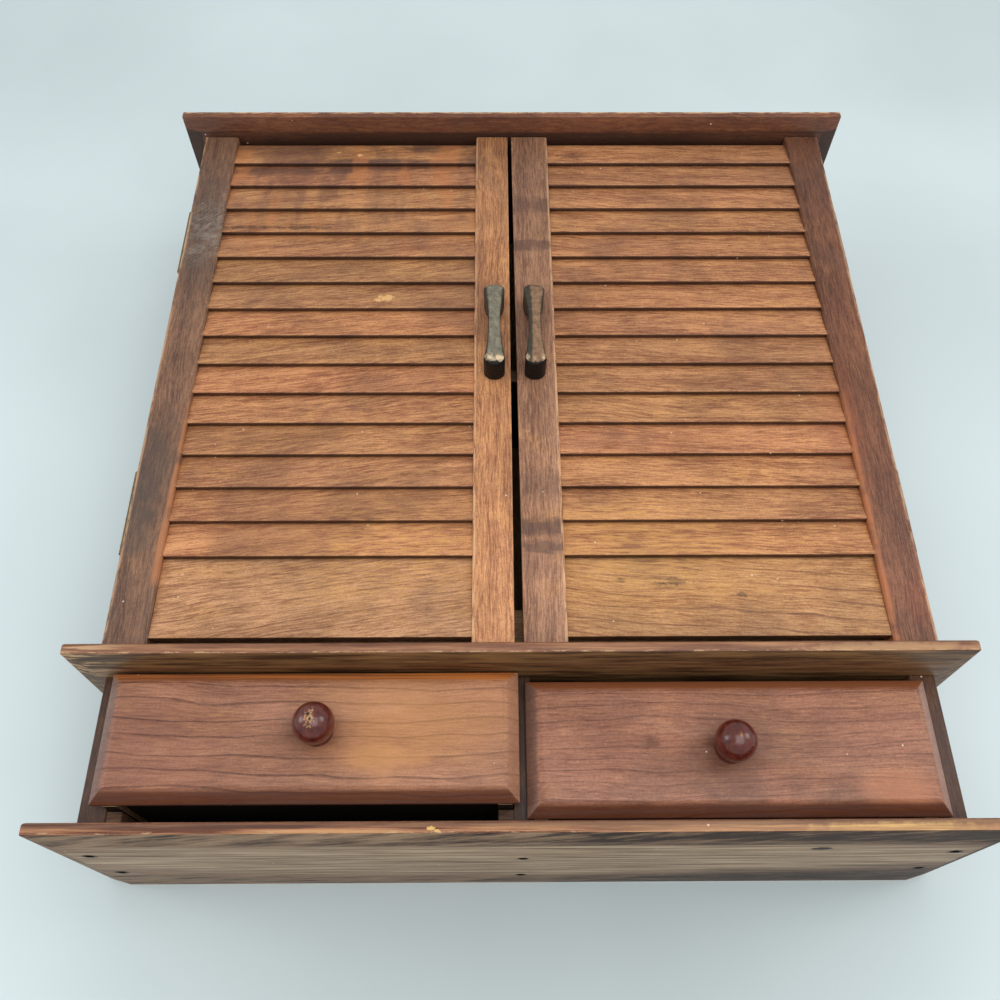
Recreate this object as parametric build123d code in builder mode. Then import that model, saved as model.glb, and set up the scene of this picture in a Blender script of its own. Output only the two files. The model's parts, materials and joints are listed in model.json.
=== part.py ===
"""Wall or table spice cabinet: two louvred doors over two small drawers, in stained pine.

Three equal moulded boards (base, waist shelf and top) stand out round two shallow cases. The upper case
holds the jars behind the doors, and the lower one holds the drawers. Millimetres, +Z up, the front looks
along -Y, and the origin is under the middle of the base board.
"""

import os
from math import asin, cos, degrees, sin, sqrt, tan

from build123d import *

os.makedirs("parts", exist_ok=True)

# Case and the three moulded boards
side_d = 66.0  # depth of the side panels
side_t = 9.5
back_t = 3.3
board_t = 6.5  # base board, waist shelf and top board
board_lip = 10.0  # the boards stand out this far past the doors and past the side panels
bevel_w = 8.5  # shallow bevel worked under the front and side edges of each board
bevel_h = 2.4
arris_r = 1.1  # rounded upper arris of each board
jar_bay_h = 276.4  # clear height behind the doors
divider_t = 6.4

# Inner shelf, jar rail and drawer runners
shelf_t = 6.5
shelf_height = 137.0  # underside of the inner shelf above the waist shelf
shelf_setback = 10.0
rail_h = 20.7  # rail that keeps the jars in, behind the foot of the doors
rail_t = 6.4
rail_setback = 0.5
runner_w = 5.5  # strips that the sides of the drawers slide on
runner_setback = 0.5
runner_left_h = 7.6  # the left drawer rides higher than the right one
runner_right_h = 3.4

# Doors
door_t = 9.4
door_seat = 0.3  # between the doors and the front edges of the case
door_top_gap = 0.6
door_foot_gap = 0.8
hinge_stile_w = 16.4
left_meeting_w = 15.9
left_meeting_x = -2.45  # meeting edge of the left door
right_meeting_w = 16.4
right_meeting_x = 1.1  # meeting edge of the right door at its foot
right_meeting_skew = 1.7  # that edge was planed out of square: it stands this much further left at the top
stile_ease = 0.8  # eased inner arris of the stiles
slat_count = 15
slat_t = 2.3
slat_recess = 0.6  # lower edge of each slat behind the face of the stiles
slat_lap = 4.0  # hidden part of a slat, behind the one above
slat_fit = 0.05
slat_housing = 2.5  # depth of the angled housings in the stiles
slot_above_slats = 2.2
foot_board_h = 33.8  # wide flat board that closes the foot of each door
foot_board_t = 3.2
foot_board_lift = 5.2  # its lower edge above the foot of the stiles
foot_board_recess = 0.9

# Hinges: butt hinges with the barrel outside the case
hinge_len = 38.0
hinge_inset = 63.0  # middle of each hinge from the end of the door
leaf_t = 0.9
leaf_w = 7.5
barrel_r = 2.1
barrel_clear = 0.3  # between the barrel and the wood
hinge_pin_r = 0.8
pin_fit = 0.05
knuckle_gap = 0.25
leaf_fit = 0.05

# Drawers
front_w = 148.0  # the width of the case follows from the two fronts
front_gap = 2.6  # between the two fronts
front_reveal = 5.7  # edge of each side panel that shows beside a front
front_right_h = 49.2  # the height of the drawer case follows from the right front
front_right_gap = 2.7  # above the right front
front_left_gap = 0.8  # above the left front, which rides higher and is lower for it
front_edge_t = 1.7  # thickness left at the edge of the bevelled front
front_field_t = 4.6  # the raised field stands out this much further
front_bevel_w = 4.8
box_side_fit = 0.6
box_len = 62.0
box_rim_drop = 1.1  # rim of the boxes below the upper edge of the left front
box_t = 5.0
box_floor_t = 3.0
box_floor_lift = 2.0
front_over_box = 0.2  # lower edge of the front above the underside of the box
runner_fit = 0.3
left_pulled = 5.2  # the left drawer stands this far open

# Knobs
knob_r = 7.3
knob_foot_r = 5.6
knob_neck_r = 5.0
knob_neck_l = 4.2
knob_left = (3.2, 0.7)  # each knob from the middle of its front
knob_right = (-1.8, -1.6)

# Pulls on the meeting stiles
pull_len = 45.0
pull_head_w = 9.3
pull_neck_w = 5.2
pull_end_round = 3.0  # how far the lower end bulges below its corners
pull_reach = 12.5
pull_bar_t = 3.4
pull_foot_l = 9.0
pull_foot_z = 122.4  # lower end of the pulls above the foot of the doors
pull_left_x = -9.5
pull_right_x = 8.0

# Fasteners: they have a few flat sides in place of a round, and nails and wood screws fit the wood tightly
flat_count = 8
base_nail_in = 5.0  # from the front edges of the case, and between a front nail and a rear one
base_nail_step = 34.0
divider_nail_in = 14.5
divider_nail_step = 35.5
top_nail_in = 12.0  # from both edges of the sides
waist_nail_in = 20.0
shelf_nail_in = 8.0  # from the front edge of the inner shelf
shelf_nail_rear = 10.0
nail_r = 0.8
nail_head_r = 1.8
nail_head_t = 0.7
nail_len = 24.0
brad_r = 0.6
brad_head_r = 1.3
brad_head_t = 0.5
brad_len = 12.0
screw_r = 0.9
screw_head_r = 1.7
screw_head_t = 0.8
screw_len = 6.5
screw_step = 19.0  # between the two screws of a leaf
pull_screw_r = 1.2
pull_screw_head_r = 2.4
pull_screw_head_t = 1.3
pull_screw_bite = 6.0
knob_screw_r = 1.4
knob_screw_head_r = 2.8
knob_screw_head_t = 1.6
knob_screw_bite = 6.5
fastener_fit = 0.05

# Clear height of the drawer case, and what fits in it
drawer_bay_h = runner_right_h + runner_fit + front_over_box + front_right_h + front_right_gap
front_left_h = drawer_bay_h - runner_left_h - runner_fit - front_over_box - front_left_gap
box_h = front_left_h + front_over_box - box_rim_drop

# Levels, from the underside of the base board up
base_top = board_t
waist_z = base_top + drawer_bay_h
waist_top = waist_z + board_t
top_z = waist_top + jar_bay_h
overall_h = top_z + board_t
door_foot = waist_top + door_foot_gap
door_head = top_z - door_top_gap
door_h = door_head - door_foot
shelf_z = waist_top + shelf_height

# Width over the side panels and over the two closed doors, then planes from front to back
case_w = 2 * front_w + front_gap + 2 * front_reveal
board_w = case_w + 2 * board_lip
board_d = board_lip + door_t + door_seat + side_d + back_t
board_front = -board_d / 2
door_front = board_front + board_lip
door_back = door_front + door_t
case_front = door_back + door_seat
back_front = case_front + side_d
back_rear = back_front + back_t

# Planes from side to side
side_outer = case_w / 2
side_inner = side_outer - side_t
bay_w = side_inner - divider_t / 2

# Hinges, worked out
hinge_x = side_outer + barrel_r + barrel_clear
hinge_y = (door_back + case_front) / 2
hinge_zs = (door_head - hinge_inset, door_foot + hinge_inset)

# Slats, worked out: each one leans so that its foot lies on the slat below
foot_board_foot = door_foot + foot_board_lift
slat_foot = foot_board_foot + foot_board_h
slat_pitch = (door_head - slot_above_slats - slat_foot) / slat_count
slat_lean = asin((slat_t + slat_fit) / slat_pitch)

LEFT, RIGHT = -1, 1
SIDES = {LEFT: "left", RIGHT: "right"}
IN, OUT, UP, DOWN = (0, 1, 0), (0, -1, 0), (0, 0, 1), (0, 0, -1)


def slab(x0, x1, y0, y1, z0, z1, mode=Mode.ADD):
    """A plain board between three pairs of planes."""
    with BuildSketch(Plane.XY.offset(z0)) as plan:
        with Locations(((x0 + x1) / 2, (y0 + y1) / 2)):
            Rectangle(abs(x1 - x0), abs(y1 - y0))
    extrude(plan.sketch, amount=z1 - z0, mode=mode)


def turned(at, way, profile, mode=Mode.ADD):
    """A round piece about the line from at along way: profile holds (distance along, radius) corners."""
    flat = (0, 0, 1) if abs(way[2]) < 0.5 else (1, 0, 0)
    with BuildSketch(Plane(origin=at, x_dir=way, z_dir=flat)) as half:
        with BuildLine():
            Polyline((profile[0][0], 0), *profile, (profile[-1][0], 0), close=True)
        make_face()
    revolve(half.sketch, axis=Axis(at, way), mode=mode)


def peg(at, way, profile, mode=Mode.ADD):
    """A straight many-sided fastener from at along way: profile holds (distance along, radius) corners."""
    for (start, r_start), (end, r_end) in zip(profile, profile[1:]):
        if end == start:
            continue
        ends = []
        for along, r in ((start, r_start), (end, r_end)):
            with BuildSketch(Plane(origin=Vector(*at) + Vector(*way) * along, z_dir=way)) as section:
                RegularPolygon(r, flat_count)
            ends.append(section.sketch)
        loft(ends, ruled=True, mode=mode)


def headed(head_r, head_t, shank_r, length):
    """Profile of a nail with a flat head let in flush."""
    return [(0, head_r), (head_t, head_r), (head_t, shank_r), (length, shank_r)]


def countersunk(head_r, head_t, shank_r, length, grow=0.0):
    """Profile of a screw with a conical head let in flush, or with grow of the hole for it."""
    return [(0, head_r + grow), (head_t, shank_r + grow), (length + grow, shank_r + grow)]


def hinge_screw_profile(grow=0.0):
    return countersunk(screw_head_r, screw_head_t, screw_r, screw_len, grow)


nail = headed(nail_head_r, nail_head_t, nail_r, nail_len)
brad = headed(brad_head_r, brad_head_t, brad_r, brad_len)


def moulded_board(y_back, z):
    """A board with a shallow bevel underneath and a rounded upper arris, at the front and both ends."""
    depth = y_back - board_front
    with BuildSketch(Plane.XY.offset(z)) as under:
        with Locations((0, (board_front + bevel_w + y_back) / 2)):
            Rectangle(board_w - 2 * bevel_w, depth - bevel_w)
    with BuildSketch(Plane.XY.offset(z + bevel_h)) as full:
        with Locations((0, (board_front + y_back) / 2)):
            Rectangle(board_w, depth)
    loft([under.sketch, full.sketch], ruled=True)
    extrude(full.sketch, amount=board_t - bevel_h)


def round_upper_arris(board):
    upper = board.edges().group_by(Axis.Z)[-1].sort_by(Axis.Y)
    fillet(upper[:-1], radius=arris_r)


def drill(places, way, profile):
    for at in places:
        peg(at, way, profile, mode=Mode.SUBTRACT)


# Where the fasteners go
side_nail_x = side_outer - side_t / 2
base_nail_ys = (case_front + base_nail_in, case_front + base_nail_in + base_nail_step)
divider_nail_ys = (case_front + divider_nail_in, case_front + divider_nail_in + divider_nail_step)
top_nail_ys = (case_front + top_nail_in, back_front - top_nail_in)
waist_nail_ys = (case_front + waist_nail_in, back_front - waist_nail_in)
base_nails_at = [(s * side_nail_x, y, 0) for s in SIDES for y in base_nail_ys]
base_nails_at += [(0, y, 0) for y in divider_nail_ys]
top_nails_at = [(s * side_nail_x, y, overall_h) for s in SIDES for y in top_nail_ys]
waist_nails_at = [(s * side_nail_x, y, waist_top) for s in SIDES for y in waist_nail_ys]
waist_nails_at += [(0, (case_front + back_front) / 2, waist_top)]
shelf_mid_z = shelf_z + shelf_t / 2
shelf_nail_ys = (case_front + shelf_setback + shelf_nail_in, back_front - shelf_nail_rear)
rail_y = case_front + rail_setback
back_brads_x = side_outer - side_t / 2
back_brads_zs = [waist_top + jar_bay_h * share for share in (0.08, 0.35, 0.65, 0.92)]
back_brads_at = [(s * back_brads_x, back_rear, z) for s in SIDES for z in back_brads_zs]
back_brads_at += [(s * back_brads_x, back_rear, base_top + drawer_bay_h / 2) for s in SIDES]
back_brads_at += [(case_w * k / 4, back_rear, shelf_mid_z) for k in (-1, 0, 1)]

# Base board
with BuildPart() as base_board:
    moulded_board(back_rear, 0)
    round_upper_arris(base_board)
base_board.part.label = "base_board"
export_step(base_board.part, "parts/base_board.step")

# Waist shelf, between the drawer case and the jar case: the back panel passes behind it
with BuildPart() as waist_shelf:
    moulded_board(back_front, waist_z)
    round_upper_arris(waist_shelf)
waist_shelf.part.label = "waist_shelf"
export_step(waist_shelf.part, "parts/waist_shelf.step")

# Top board
with BuildPart() as top_board:
    moulded_board(back_rear, top_z)
    round_upper_arris(top_board)
top_board.part.label = "top_board"
export_step(top_board.part, "parts/top_board.step")


def side_nail_places(side):
    """Nails through a jar-case side into the inner shelf and the jar rail."""
    places = [(side * side_outer, y, shelf_mid_z) for y in shelf_nail_ys]
    return places + [(side * side_outer, rail_y + rail_t / 2, waist_top + rail_h / 2)]


def frame_screw_places(side):
    x = side * (side_outer - leaf_w / 2)
    return [(x, case_front, z + step) for z in hinge_zs for step in (-screw_step / 2, screw_step / 2)]


def make_upper_side(side):
    """Side of the jar case, with mortises for the hinge leaves in its front edge."""
    with BuildPart() as panel:
        slab(side * side_inner, side * side_outer, case_front, back_front, waist_top, top_z)
        for z in hinge_zs:
            half = hinge_len / 2 + leaf_fit
            x_in = side * (side_outer - leaf_w - leaf_fit)
            slab(x_in, side * side_outer, case_front, case_front + leaf_t, z - half, z + half, Mode.SUBTRACT)
    return panel


def make_lower_side(side):
    """Side of the drawer case."""
    with BuildPart() as panel:
        slab(side * side_inner, side * side_outer, case_front, back_front, base_top, waist_z)
    return panel


upper_side_left = make_upper_side(LEFT)
upper_side_left.part.label = "upper_side_left"
export_step(upper_side_left.part, "parts/upper_side_left.step")

upper_side_right = make_upper_side(RIGHT)
upper_side_right.part.label = "upper_side_right"
export_step(upper_side_right.part, "parts/upper_side_right.step")

lower_side_left = make_lower_side(LEFT)
lower_side_left.part.label = "lower_side_left"
export_step(lower_side_left.part, "parts/lower_side_left.step")

lower_side_right = make_lower_side(RIGHT)
lower_side_right.part.label = "lower_side_right"
export_step(lower_side_right.part, "parts/lower_side_right.step")

# Thin back panel, planted on the back edges of both cases
with BuildPart() as back_panel:
    slab(-side_outer, side_outer, back_front, back_rear, base_top, top_z)
back_panel.part.label = "back_panel"
export_step(back_panel.part, "parts/back_panel.step")

# Upright board between the two drawer bays
with BuildPart() as drawer_divider:
    slab(-divider_t / 2, divider_t / 2, case_front, back_front, base_top, waist_z)
drawer_divider.part.label = "drawer_divider"
export_step(drawer_divider.part, "parts/drawer_divider.step")

# Strips that the drawers slide on, at both sides of each bay
runner_hs = {LEFT: runner_left_h, RIGHT: runner_right_h}
runner_y = case_front + runner_setback
for side, side_name in SIDES.items():
    bay_edges = (side * divider_t / 2, side * side_inner)
    with BuildPart() as drawer_runners:
        for edge, inward in zip(bay_edges, (side, -side)):
            slab(edge, edge + inward * runner_w, runner_y, back_front, base_top, base_top + runner_hs[side])
    drawer_runners.part.label = f"drawer_runners_{side_name}"
    export_step(drawer_runners.part, f"parts/{drawer_runners.part.label}.step")

# Inner shelf for the jars
with BuildPart() as jar_shelf:
    slab(-side_inner, side_inner, case_front + shelf_setback, back_front, shelf_z, shelf_z + shelf_t)
jar_shelf.part.label = "jar_shelf"
export_step(jar_shelf.part, "parts/jar_shelf.step")

# Rail behind the foot of the doors
with BuildPart() as jar_rail:
    slab(-side_inner, side_inner, rail_y, rail_y + rail_t, waist_top, waist_top + rail_h)
jar_rail.part.label = "jar_rail"
export_step(jar_rail.part, "parts/jar_rail.step")

# Nails and brads of the case, in groups
with BuildPart() as base_nails:
    for place in base_nails_at:
        peg(place, UP, nail)
base_nails.part.label = "base_nails"
export_step(base_nails.part, "parts/base_nails.step")

with BuildPart() as top_nails:
    for place in top_nails_at:
        peg(place, DOWN, nail)
top_nails.part.label = "top_nails"
export_step(top_nails.part, "parts/top_nails.step")

with BuildPart() as waist_nails:
    for place in waist_nails_at:
        peg(place, DOWN, nail)
waist_nails.part.label = "waist_nails"
export_step(waist_nails.part, "parts/waist_nails.step")

with BuildPart() as side_nails:
    for nailed_side in SIDES:
        for place in side_nail_places(nailed_side):
            peg(place, (-nailed_side, 0, 0), nail)
side_nails.part.label = "side_nails"
export_step(side_nails.part, "parts/side_nails.step")

with BuildPart() as back_brads:
    for place in back_brads_at:
        peg(place, OUT, brad)
back_brads.part.label = "back_brads"
export_step(back_brads.part, "parts/back_brads.step")


def hinge_knuckles(z, own):
    """Knuckle stretches of a hinge: three on the case leaf (own 0) and two on the door leaf (own 1)."""
    step = hinge_len / 5
    foot = z - hinge_len / 2
    trim = knuckle_gap / 2
    return [(foot + k * step + trim, foot + (k + 1) * step - trim) for k in range(own, 5, 2)]


def make_leaf(side, z, on_door):
    """A hinge leaf let into the wood, with its knuckles rolled round the pin outside the case."""
    y0, y1 = (door_back - leaf_t, door_back) if on_door else (case_front, case_front + leaf_t)
    x_wood = side * side_outer
    with BuildPart() as leaf:
        slab(side * (side_outer - leaf_w), x_wood, y0, y1, z - hinge_len / 2, z + hinge_len / 2)
        for low, high in hinge_knuckles(z, int(on_door)):
            slab(x_wood, side * hinge_x, y0, y1, low, high)
            turned((side * hinge_x, hinge_y, low), UP, [(0, barrel_r), (high - low, barrel_r)])
            reach = [(-knuckle_gap, hinge_pin_r + pin_fit), (high - low + knuckle_gap, hinge_pin_r + pin_fit)]
            turned((side * hinge_x, hinge_y, low), UP, reach, mode=Mode.SUBTRACT)
        face, way = (door_back, OUT) if on_door else (case_front, IN)
        for step in (-screw_step / 2, screw_step / 2):
            at = (side * (side_outer - leaf_w / 2), face, z + step)
            peg(at, way, hinge_screw_profile(fastener_fit), mode=Mode.SUBTRACT)
    return leaf


for level, z in zip(("upper", "lower"), hinge_zs):
    for side, side_name in SIDES.items():
        case_leaf = make_leaf(side, z, on_door=False)
        case_leaf.part.label = f"case_leaf_{level}_{side_name}"
        export_step(case_leaf.part, f"parts/{case_leaf.part.label}.step")

        door_leaf = make_leaf(side, z, on_door=True)
        door_leaf.part.label = f"door_leaf_{level}_{side_name}"
        export_step(door_leaf.part, f"parts/{door_leaf.part.label}.step")

        with BuildPart() as hinge_pin:
            foot = (side * hinge_x, hinge_y, z - hinge_len / 2)
            turned(foot, UP, [(0, hinge_pin_r), (hinge_len, hinge_pin_r)])
        hinge_pin.part.label = f"hinge_pin_{level}_{side_name}"
        export_step(hinge_pin.part, f"parts/{hinge_pin.part.label}.step")

with BuildPart() as case_hinge_screws:
    for hinged_side in SIDES:
        for place in frame_screw_places(hinged_side):
            peg(place, IN, hinge_screw_profile())
case_hinge_screws.part.label = "case_hinge_screws"
export_step(case_hinge_screws.part, "parts/case_hinge_screws.step")


def slat_corners(foot, height, grow=0.0):
    """Cross-section of a leaning slat as (y, z) corners, from its lower front edge."""
    along = (sin(slat_lean), cos(slat_lean))
    behind = (cos(slat_lean), -sin(slat_lean))
    length = height / cos(slat_lean)
    start = (door_front + slat_recess, foot)

    def corner(up, back):
        return (start[0] + up * along[0] + back * behind[0], start[1] + up * along[1] + back * behind[1])

    return [
        corner(-grow, -grow),
        corner(-grow, slat_t + grow),
        corner(length + grow, slat_t + grow),
        corner(length + grow, -grow),
    ]


def foot_board_corners(grow=0.0):
    """Cross-section of the wide foot board as (y, z) corners: its top is let in behind the lowest slat."""
    y_foot = door_front + foot_board_recess
    y_lap = door_front + slat_recess + slat_t * cos(slat_lean) + slat_fit
    z_lap = slat_foot - slat_t * sin(slat_lean)
    y_top = y_lap + slat_lap * tan(slat_lean)
    z_top = z_lap + slat_lap
    return [
        (y_foot - grow, foot_board_foot - grow),
        (y_lap - grow, z_lap),
        (y_top - grow, z_top + grow),
        (y_top + foot_board_t + grow, z_top + grow),
        (y_lap + foot_board_t + grow, z_lap),
        (y_foot + foot_board_t + grow, foot_board_foot - grow),
    ]


def prism(corners, x0, x1, mode=Mode.ADD):
    """A straight piece along X from x0 to x1, with the given (y, z) corners."""
    with BuildSketch(Plane.YZ.offset(x0)) as section:
        with BuildLine():
            Polyline(*corners, close=True)
        make_face()
    extrude(section.sketch, amount=x1 - x0, mode=mode)


slats = []
for n in range(slat_count):
    lap = slat_lap if n < slat_count - 1 else 0.0
    slats.append((slat_foot + n * slat_pitch, slat_pitch + lap))


def door_span(side):
    """Inner edges of a door's two stiles, and its outer edge, along X."""
    if side == LEFT:
        return -side_outer, -side_outer + hinge_stile_w, left_meeting_x - left_meeting_w
    return side_outer, side_outer - hinge_stile_w, right_meeting_x + right_meeting_w


def cut_housings(stile, x0, x1):
    for foot, height in slats:
        prism(slat_corners(foot, height, slat_fit / 2), x0, x1, Mode.SUBTRACT)
    prism(foot_board_corners(slat_fit), x0, x1, Mode.SUBTRACT)


def door_screw_places(side):
    x = side * (side_outer - leaf_w / 2)
    return [(x, door_back, z + step) for z in hinge_zs for step in (-screw_step / 2, screw_step / 2)]


def make_hinge_stile(side):
    """Outer upright of a door: eased inner arris, slat housings, hinge mortises and screw holes."""
    outer, inner, _ = door_span(side)
    with BuildPart() as stile:
        slab(outer, inner, door_front, door_back, door_foot, door_head)
        front_edges = stile.edges().filter_by(Axis.Z).group_by(Axis.Y)[0].sort_by(Axis.X)
        chamfer(front_edges[-1] if side == LEFT else front_edges[0], length=stile_ease)
        cut_housings(stile, inner, inner + side * slat_housing)
        for z in hinge_zs:
            half = hinge_len / 2 + leaf_fit
            x_in = side * (side_outer - leaf_w - leaf_fit)
            slab(x_in, outer, door_back - leaf_t, door_back, z - half, z + half, Mode.SUBTRACT)
    return stile


def pull_place(side):
    return (pull_left_x if side == LEFT else pull_right_x), door_foot + pull_foot_z


def pull_screw_places(side):
    x, z = pull_place(side)
    return [(x, door_back, z + pull_foot_l / 2), (x, door_back, z + pull_len - pull_foot_l / 2)]


def pull_screw_profile(grow=0.0):
    return countersunk(pull_screw_head_r, pull_screw_head_t, pull_screw_r, door_t + pull_screw_bite, grow)


def make_meeting_stile(side):
    """Upright at the middle of the cabinet, drilled for its pull: the right one has the planed edge."""
    _, _, inner = door_span(side)
    edge = left_meeting_x if side == LEFT else right_meeting_x
    skew = 0.0 if side == LEFT else right_meeting_skew
    foot, head = [(inner, door_foot), (edge, door_foot)], [(edge - skew, door_head), (inner, door_head)]
    with BuildPart() as stile:
        with BuildSketch(Plane.XZ.offset(-door_back)):
            with BuildLine():
                Polyline(*foot, *head, close=True)
            make_face()
        extrude(amount=door_t)
        front_edges = stile.edges().filter_by(Axis.Z).group_by(Axis.Y)[0].sort_by(Axis.X)
        chamfer(front_edges[0] if side == LEFT else front_edges[-1], length=stile_ease)
        cut_housings(stile, inner, inner - side * slat_housing)
        drill(pull_screw_places(side), OUT, pull_screw_profile(fastener_fit))
    return stile


def make_pull(side):
    """Bone-shaped bow pull: a side profile with a finger arch, cut to its waisted outline."""
    x, z = pull_place(side)
    mid, top = z + pull_len / 2, z + pull_len
    reach = door_front - pull_reach
    half_head, half_neck = pull_head_w / 2, pull_neck_w / 2
    foot_end, head_end = z + pull_end_round, top - half_head
    with BuildPart() as pull:
        with BuildSketch(Plane.YZ.offset(x - half_head)):
            with BuildLine():
                Line((door_front, z), (reach + pull_bar_t / 2, z))
                Line((reach + pull_bar_t / 2, z), (reach, z + pull_bar_t))
                ThreePointArc(
                    (reach, z + pull_bar_t),
                    (reach - pull_bar_t / 6, mid),
                    (reach, top - pull_bar_t),
                )
                Line((reach, top - pull_bar_t), (reach + pull_bar_t / 2, top))
                Line((reach + pull_bar_t / 2, top), (door_front, top))
                Line((door_front, top), (door_front, top - pull_foot_l))
                ThreePointArc(
                    (door_front, top - pull_foot_l),
                    (reach + pull_bar_t, mid),
                    (door_front, z + pull_foot_l),
                )
                Line((door_front, z + pull_foot_l), (door_front, z))
            make_face()
        extrude(amount=pull_head_w)
        with BuildSketch(Plane.XZ.offset(-door_front)):
            with BuildLine():
                ThreePointArc((x - half_head, foot_end), (x, z), (x + half_head, foot_end))
                ThreePointArc((x + half_head, foot_end), (x + half_neck, mid), (x + half_head, head_end))
                ThreePointArc((x + half_head, head_end), (x, top), (x - half_head, head_end))
                ThreePointArc((x - half_head, head_end), (x - half_neck, mid), (x - half_head, foot_end))
            make_face()
        extrude(amount=pull_reach + pull_bar_t, mode=Mode.INTERSECT)
        drill(pull_screw_places(side), OUT, pull_screw_profile(fastener_fit))
    return pull


for side, side_name in SIDES.items():
    _, slat_outer, slat_inner = door_span(side)
    housed_outer = slat_outer + side * (slat_housing - slat_fit)
    housed_inner = slat_inner - side * (slat_housing - slat_fit)

    hinge_stile = make_hinge_stile(side)
    hinge_stile.part.label = f"hinge_stile_{side_name}"
    export_step(hinge_stile.part, f"parts/{hinge_stile.part.label}.step")

    meeting_stile = make_meeting_stile(side)
    meeting_stile.part.label = f"meeting_stile_{side_name}"
    export_step(meeting_stile.part, f"parts/{meeting_stile.part.label}.step")

    with BuildPart() as door_slats:
        for foot, height in slats:
            prism(slat_corners(foot, height), housed_outer, housed_inner)
    door_slats.part.label = f"door_slats_{side_name}"
    export_step(door_slats.part, f"parts/{door_slats.part.label}.step")

    with BuildPart() as foot_board:
        prism(foot_board_corners(), housed_outer, housed_inner)
    foot_board.part.label = f"foot_board_{side_name}"
    export_step(foot_board.part, f"parts/{foot_board.part.label}.step")

    pull = make_pull(side)
    pull.part.label = f"pull_{side_name}"
    export_step(pull.part, f"parts/{pull.part.label}.step")

    with BuildPart() as pull_screws:
        for place in pull_screw_places(side):
            peg(place, OUT, pull_screw_profile())
    pull_screws.part.label = f"pull_screws_{side_name}"
    export_step(pull_screws.part, f"parts/{pull_screws.part.label}.step")

    with BuildPart() as door_hinge_screws:
        for place in door_screw_places(side):
            peg(place, OUT, hinge_screw_profile())
    door_hinge_screws.part.label = f"door_hinge_screws_{side_name}"
    export_step(door_hinge_screws.part, f"parts/{door_hinge_screws.part.label}.step")


front_hs = {LEFT: front_left_h, RIGHT: front_right_h}


def drawer_frame(side):
    """Planes of a drawer: middle of its bay, rear face of its front, and underside of its box."""
    bay_mid = side * (divider_t / 2 + bay_w / 2)
    pulled = left_pulled if side == LEFT else 0.0
    return bay_mid, case_front - door_seat - pulled, base_top + runner_hs[side] + runner_fit


def front_middle(side):
    _, rear, foot = drawer_frame(side)
    return side * (front_gap + front_w) / 2, rear, foot + front_over_box + front_hs[side] / 2


def knob_seat(side):
    """Point where a knob meets the raised field of its drawer front."""
    x, rear, z = front_middle(side)
    dx, dz = knob_left if side == LEFT else knob_right
    return x + dx, rear - front_edge_t - front_field_t, z + dz


knob_screw_shape = [
    (-knob_screw_head_t, knob_screw_head_r),
    (0, knob_screw_head_r),
    (0, knob_screw_r),
    (front_edge_t + front_field_t + knob_screw_bite, knob_screw_r),
]


def make_drawer_front(side):
    """Fielded drawer front: thin edges, and a broad bevel up to the raised field."""
    x, rear, z = front_middle(side)
    kx, _, kz = knob_seat(side)
    front_h = front_hs[side]
    with BuildPart() as front:
        with BuildSketch(Plane.XZ.offset(-rear)) as back_face:
            with Locations((x, z)):
                Rectangle(front_w, front_h)
        extrude(back_face.sketch, amount=front_edge_t)
        with BuildSketch(Plane.XZ.offset(-rear + front_edge_t)) as edge:
            with Locations((x, z)):
                Rectangle(front_w, front_h)
        with BuildSketch(Plane.XZ.offset(-rear + front_edge_t + front_field_t)) as field:
            with Locations((x, z)):
                Rectangle(front_w - 2 * front_bevel_w, front_h - 2 * front_bevel_w)
        loft([edge.sketch, field.sketch], ruled=True)
        shank = knob_screw_r + fastener_fit
        drill([(kx, rear, kz)], OUT, [(0, shank), (front_edge_t + front_field_t, shank)])
    return front


def make_knob(side):
    """Turned ball knob on a short neck, with a blind hole for its screw."""
    kx, ky, kz = knob_seat(side)
    middle = knob_neck_l + sqrt(knob_r**2 - knob_neck_r**2)
    tip = middle + knob_r
    with BuildPart() as knob:
        with BuildSketch(Plane(origin=(kx, ky, kz), x_dir=OUT, z_dir=(-1, 0, 0))):
            with BuildLine():
                Line((0, 0), (0, knob_foot_r))
                Line((0, knob_foot_r), (knob_neck_l, knob_neck_r))
                ThreePointArc((knob_neck_l, knob_neck_r), (middle, knob_r), (tip, 0))
                Line((tip, 0), (0, 0))
            make_face()
        revolve(axis=Axis((kx, ky, kz), OUT))
        shank = knob_screw_r + fastener_fit
        drill([(kx, ky, kz)], OUT, [(0, shank), (knob_screw_bite + fastener_fit, shank)])
    return knob


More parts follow.
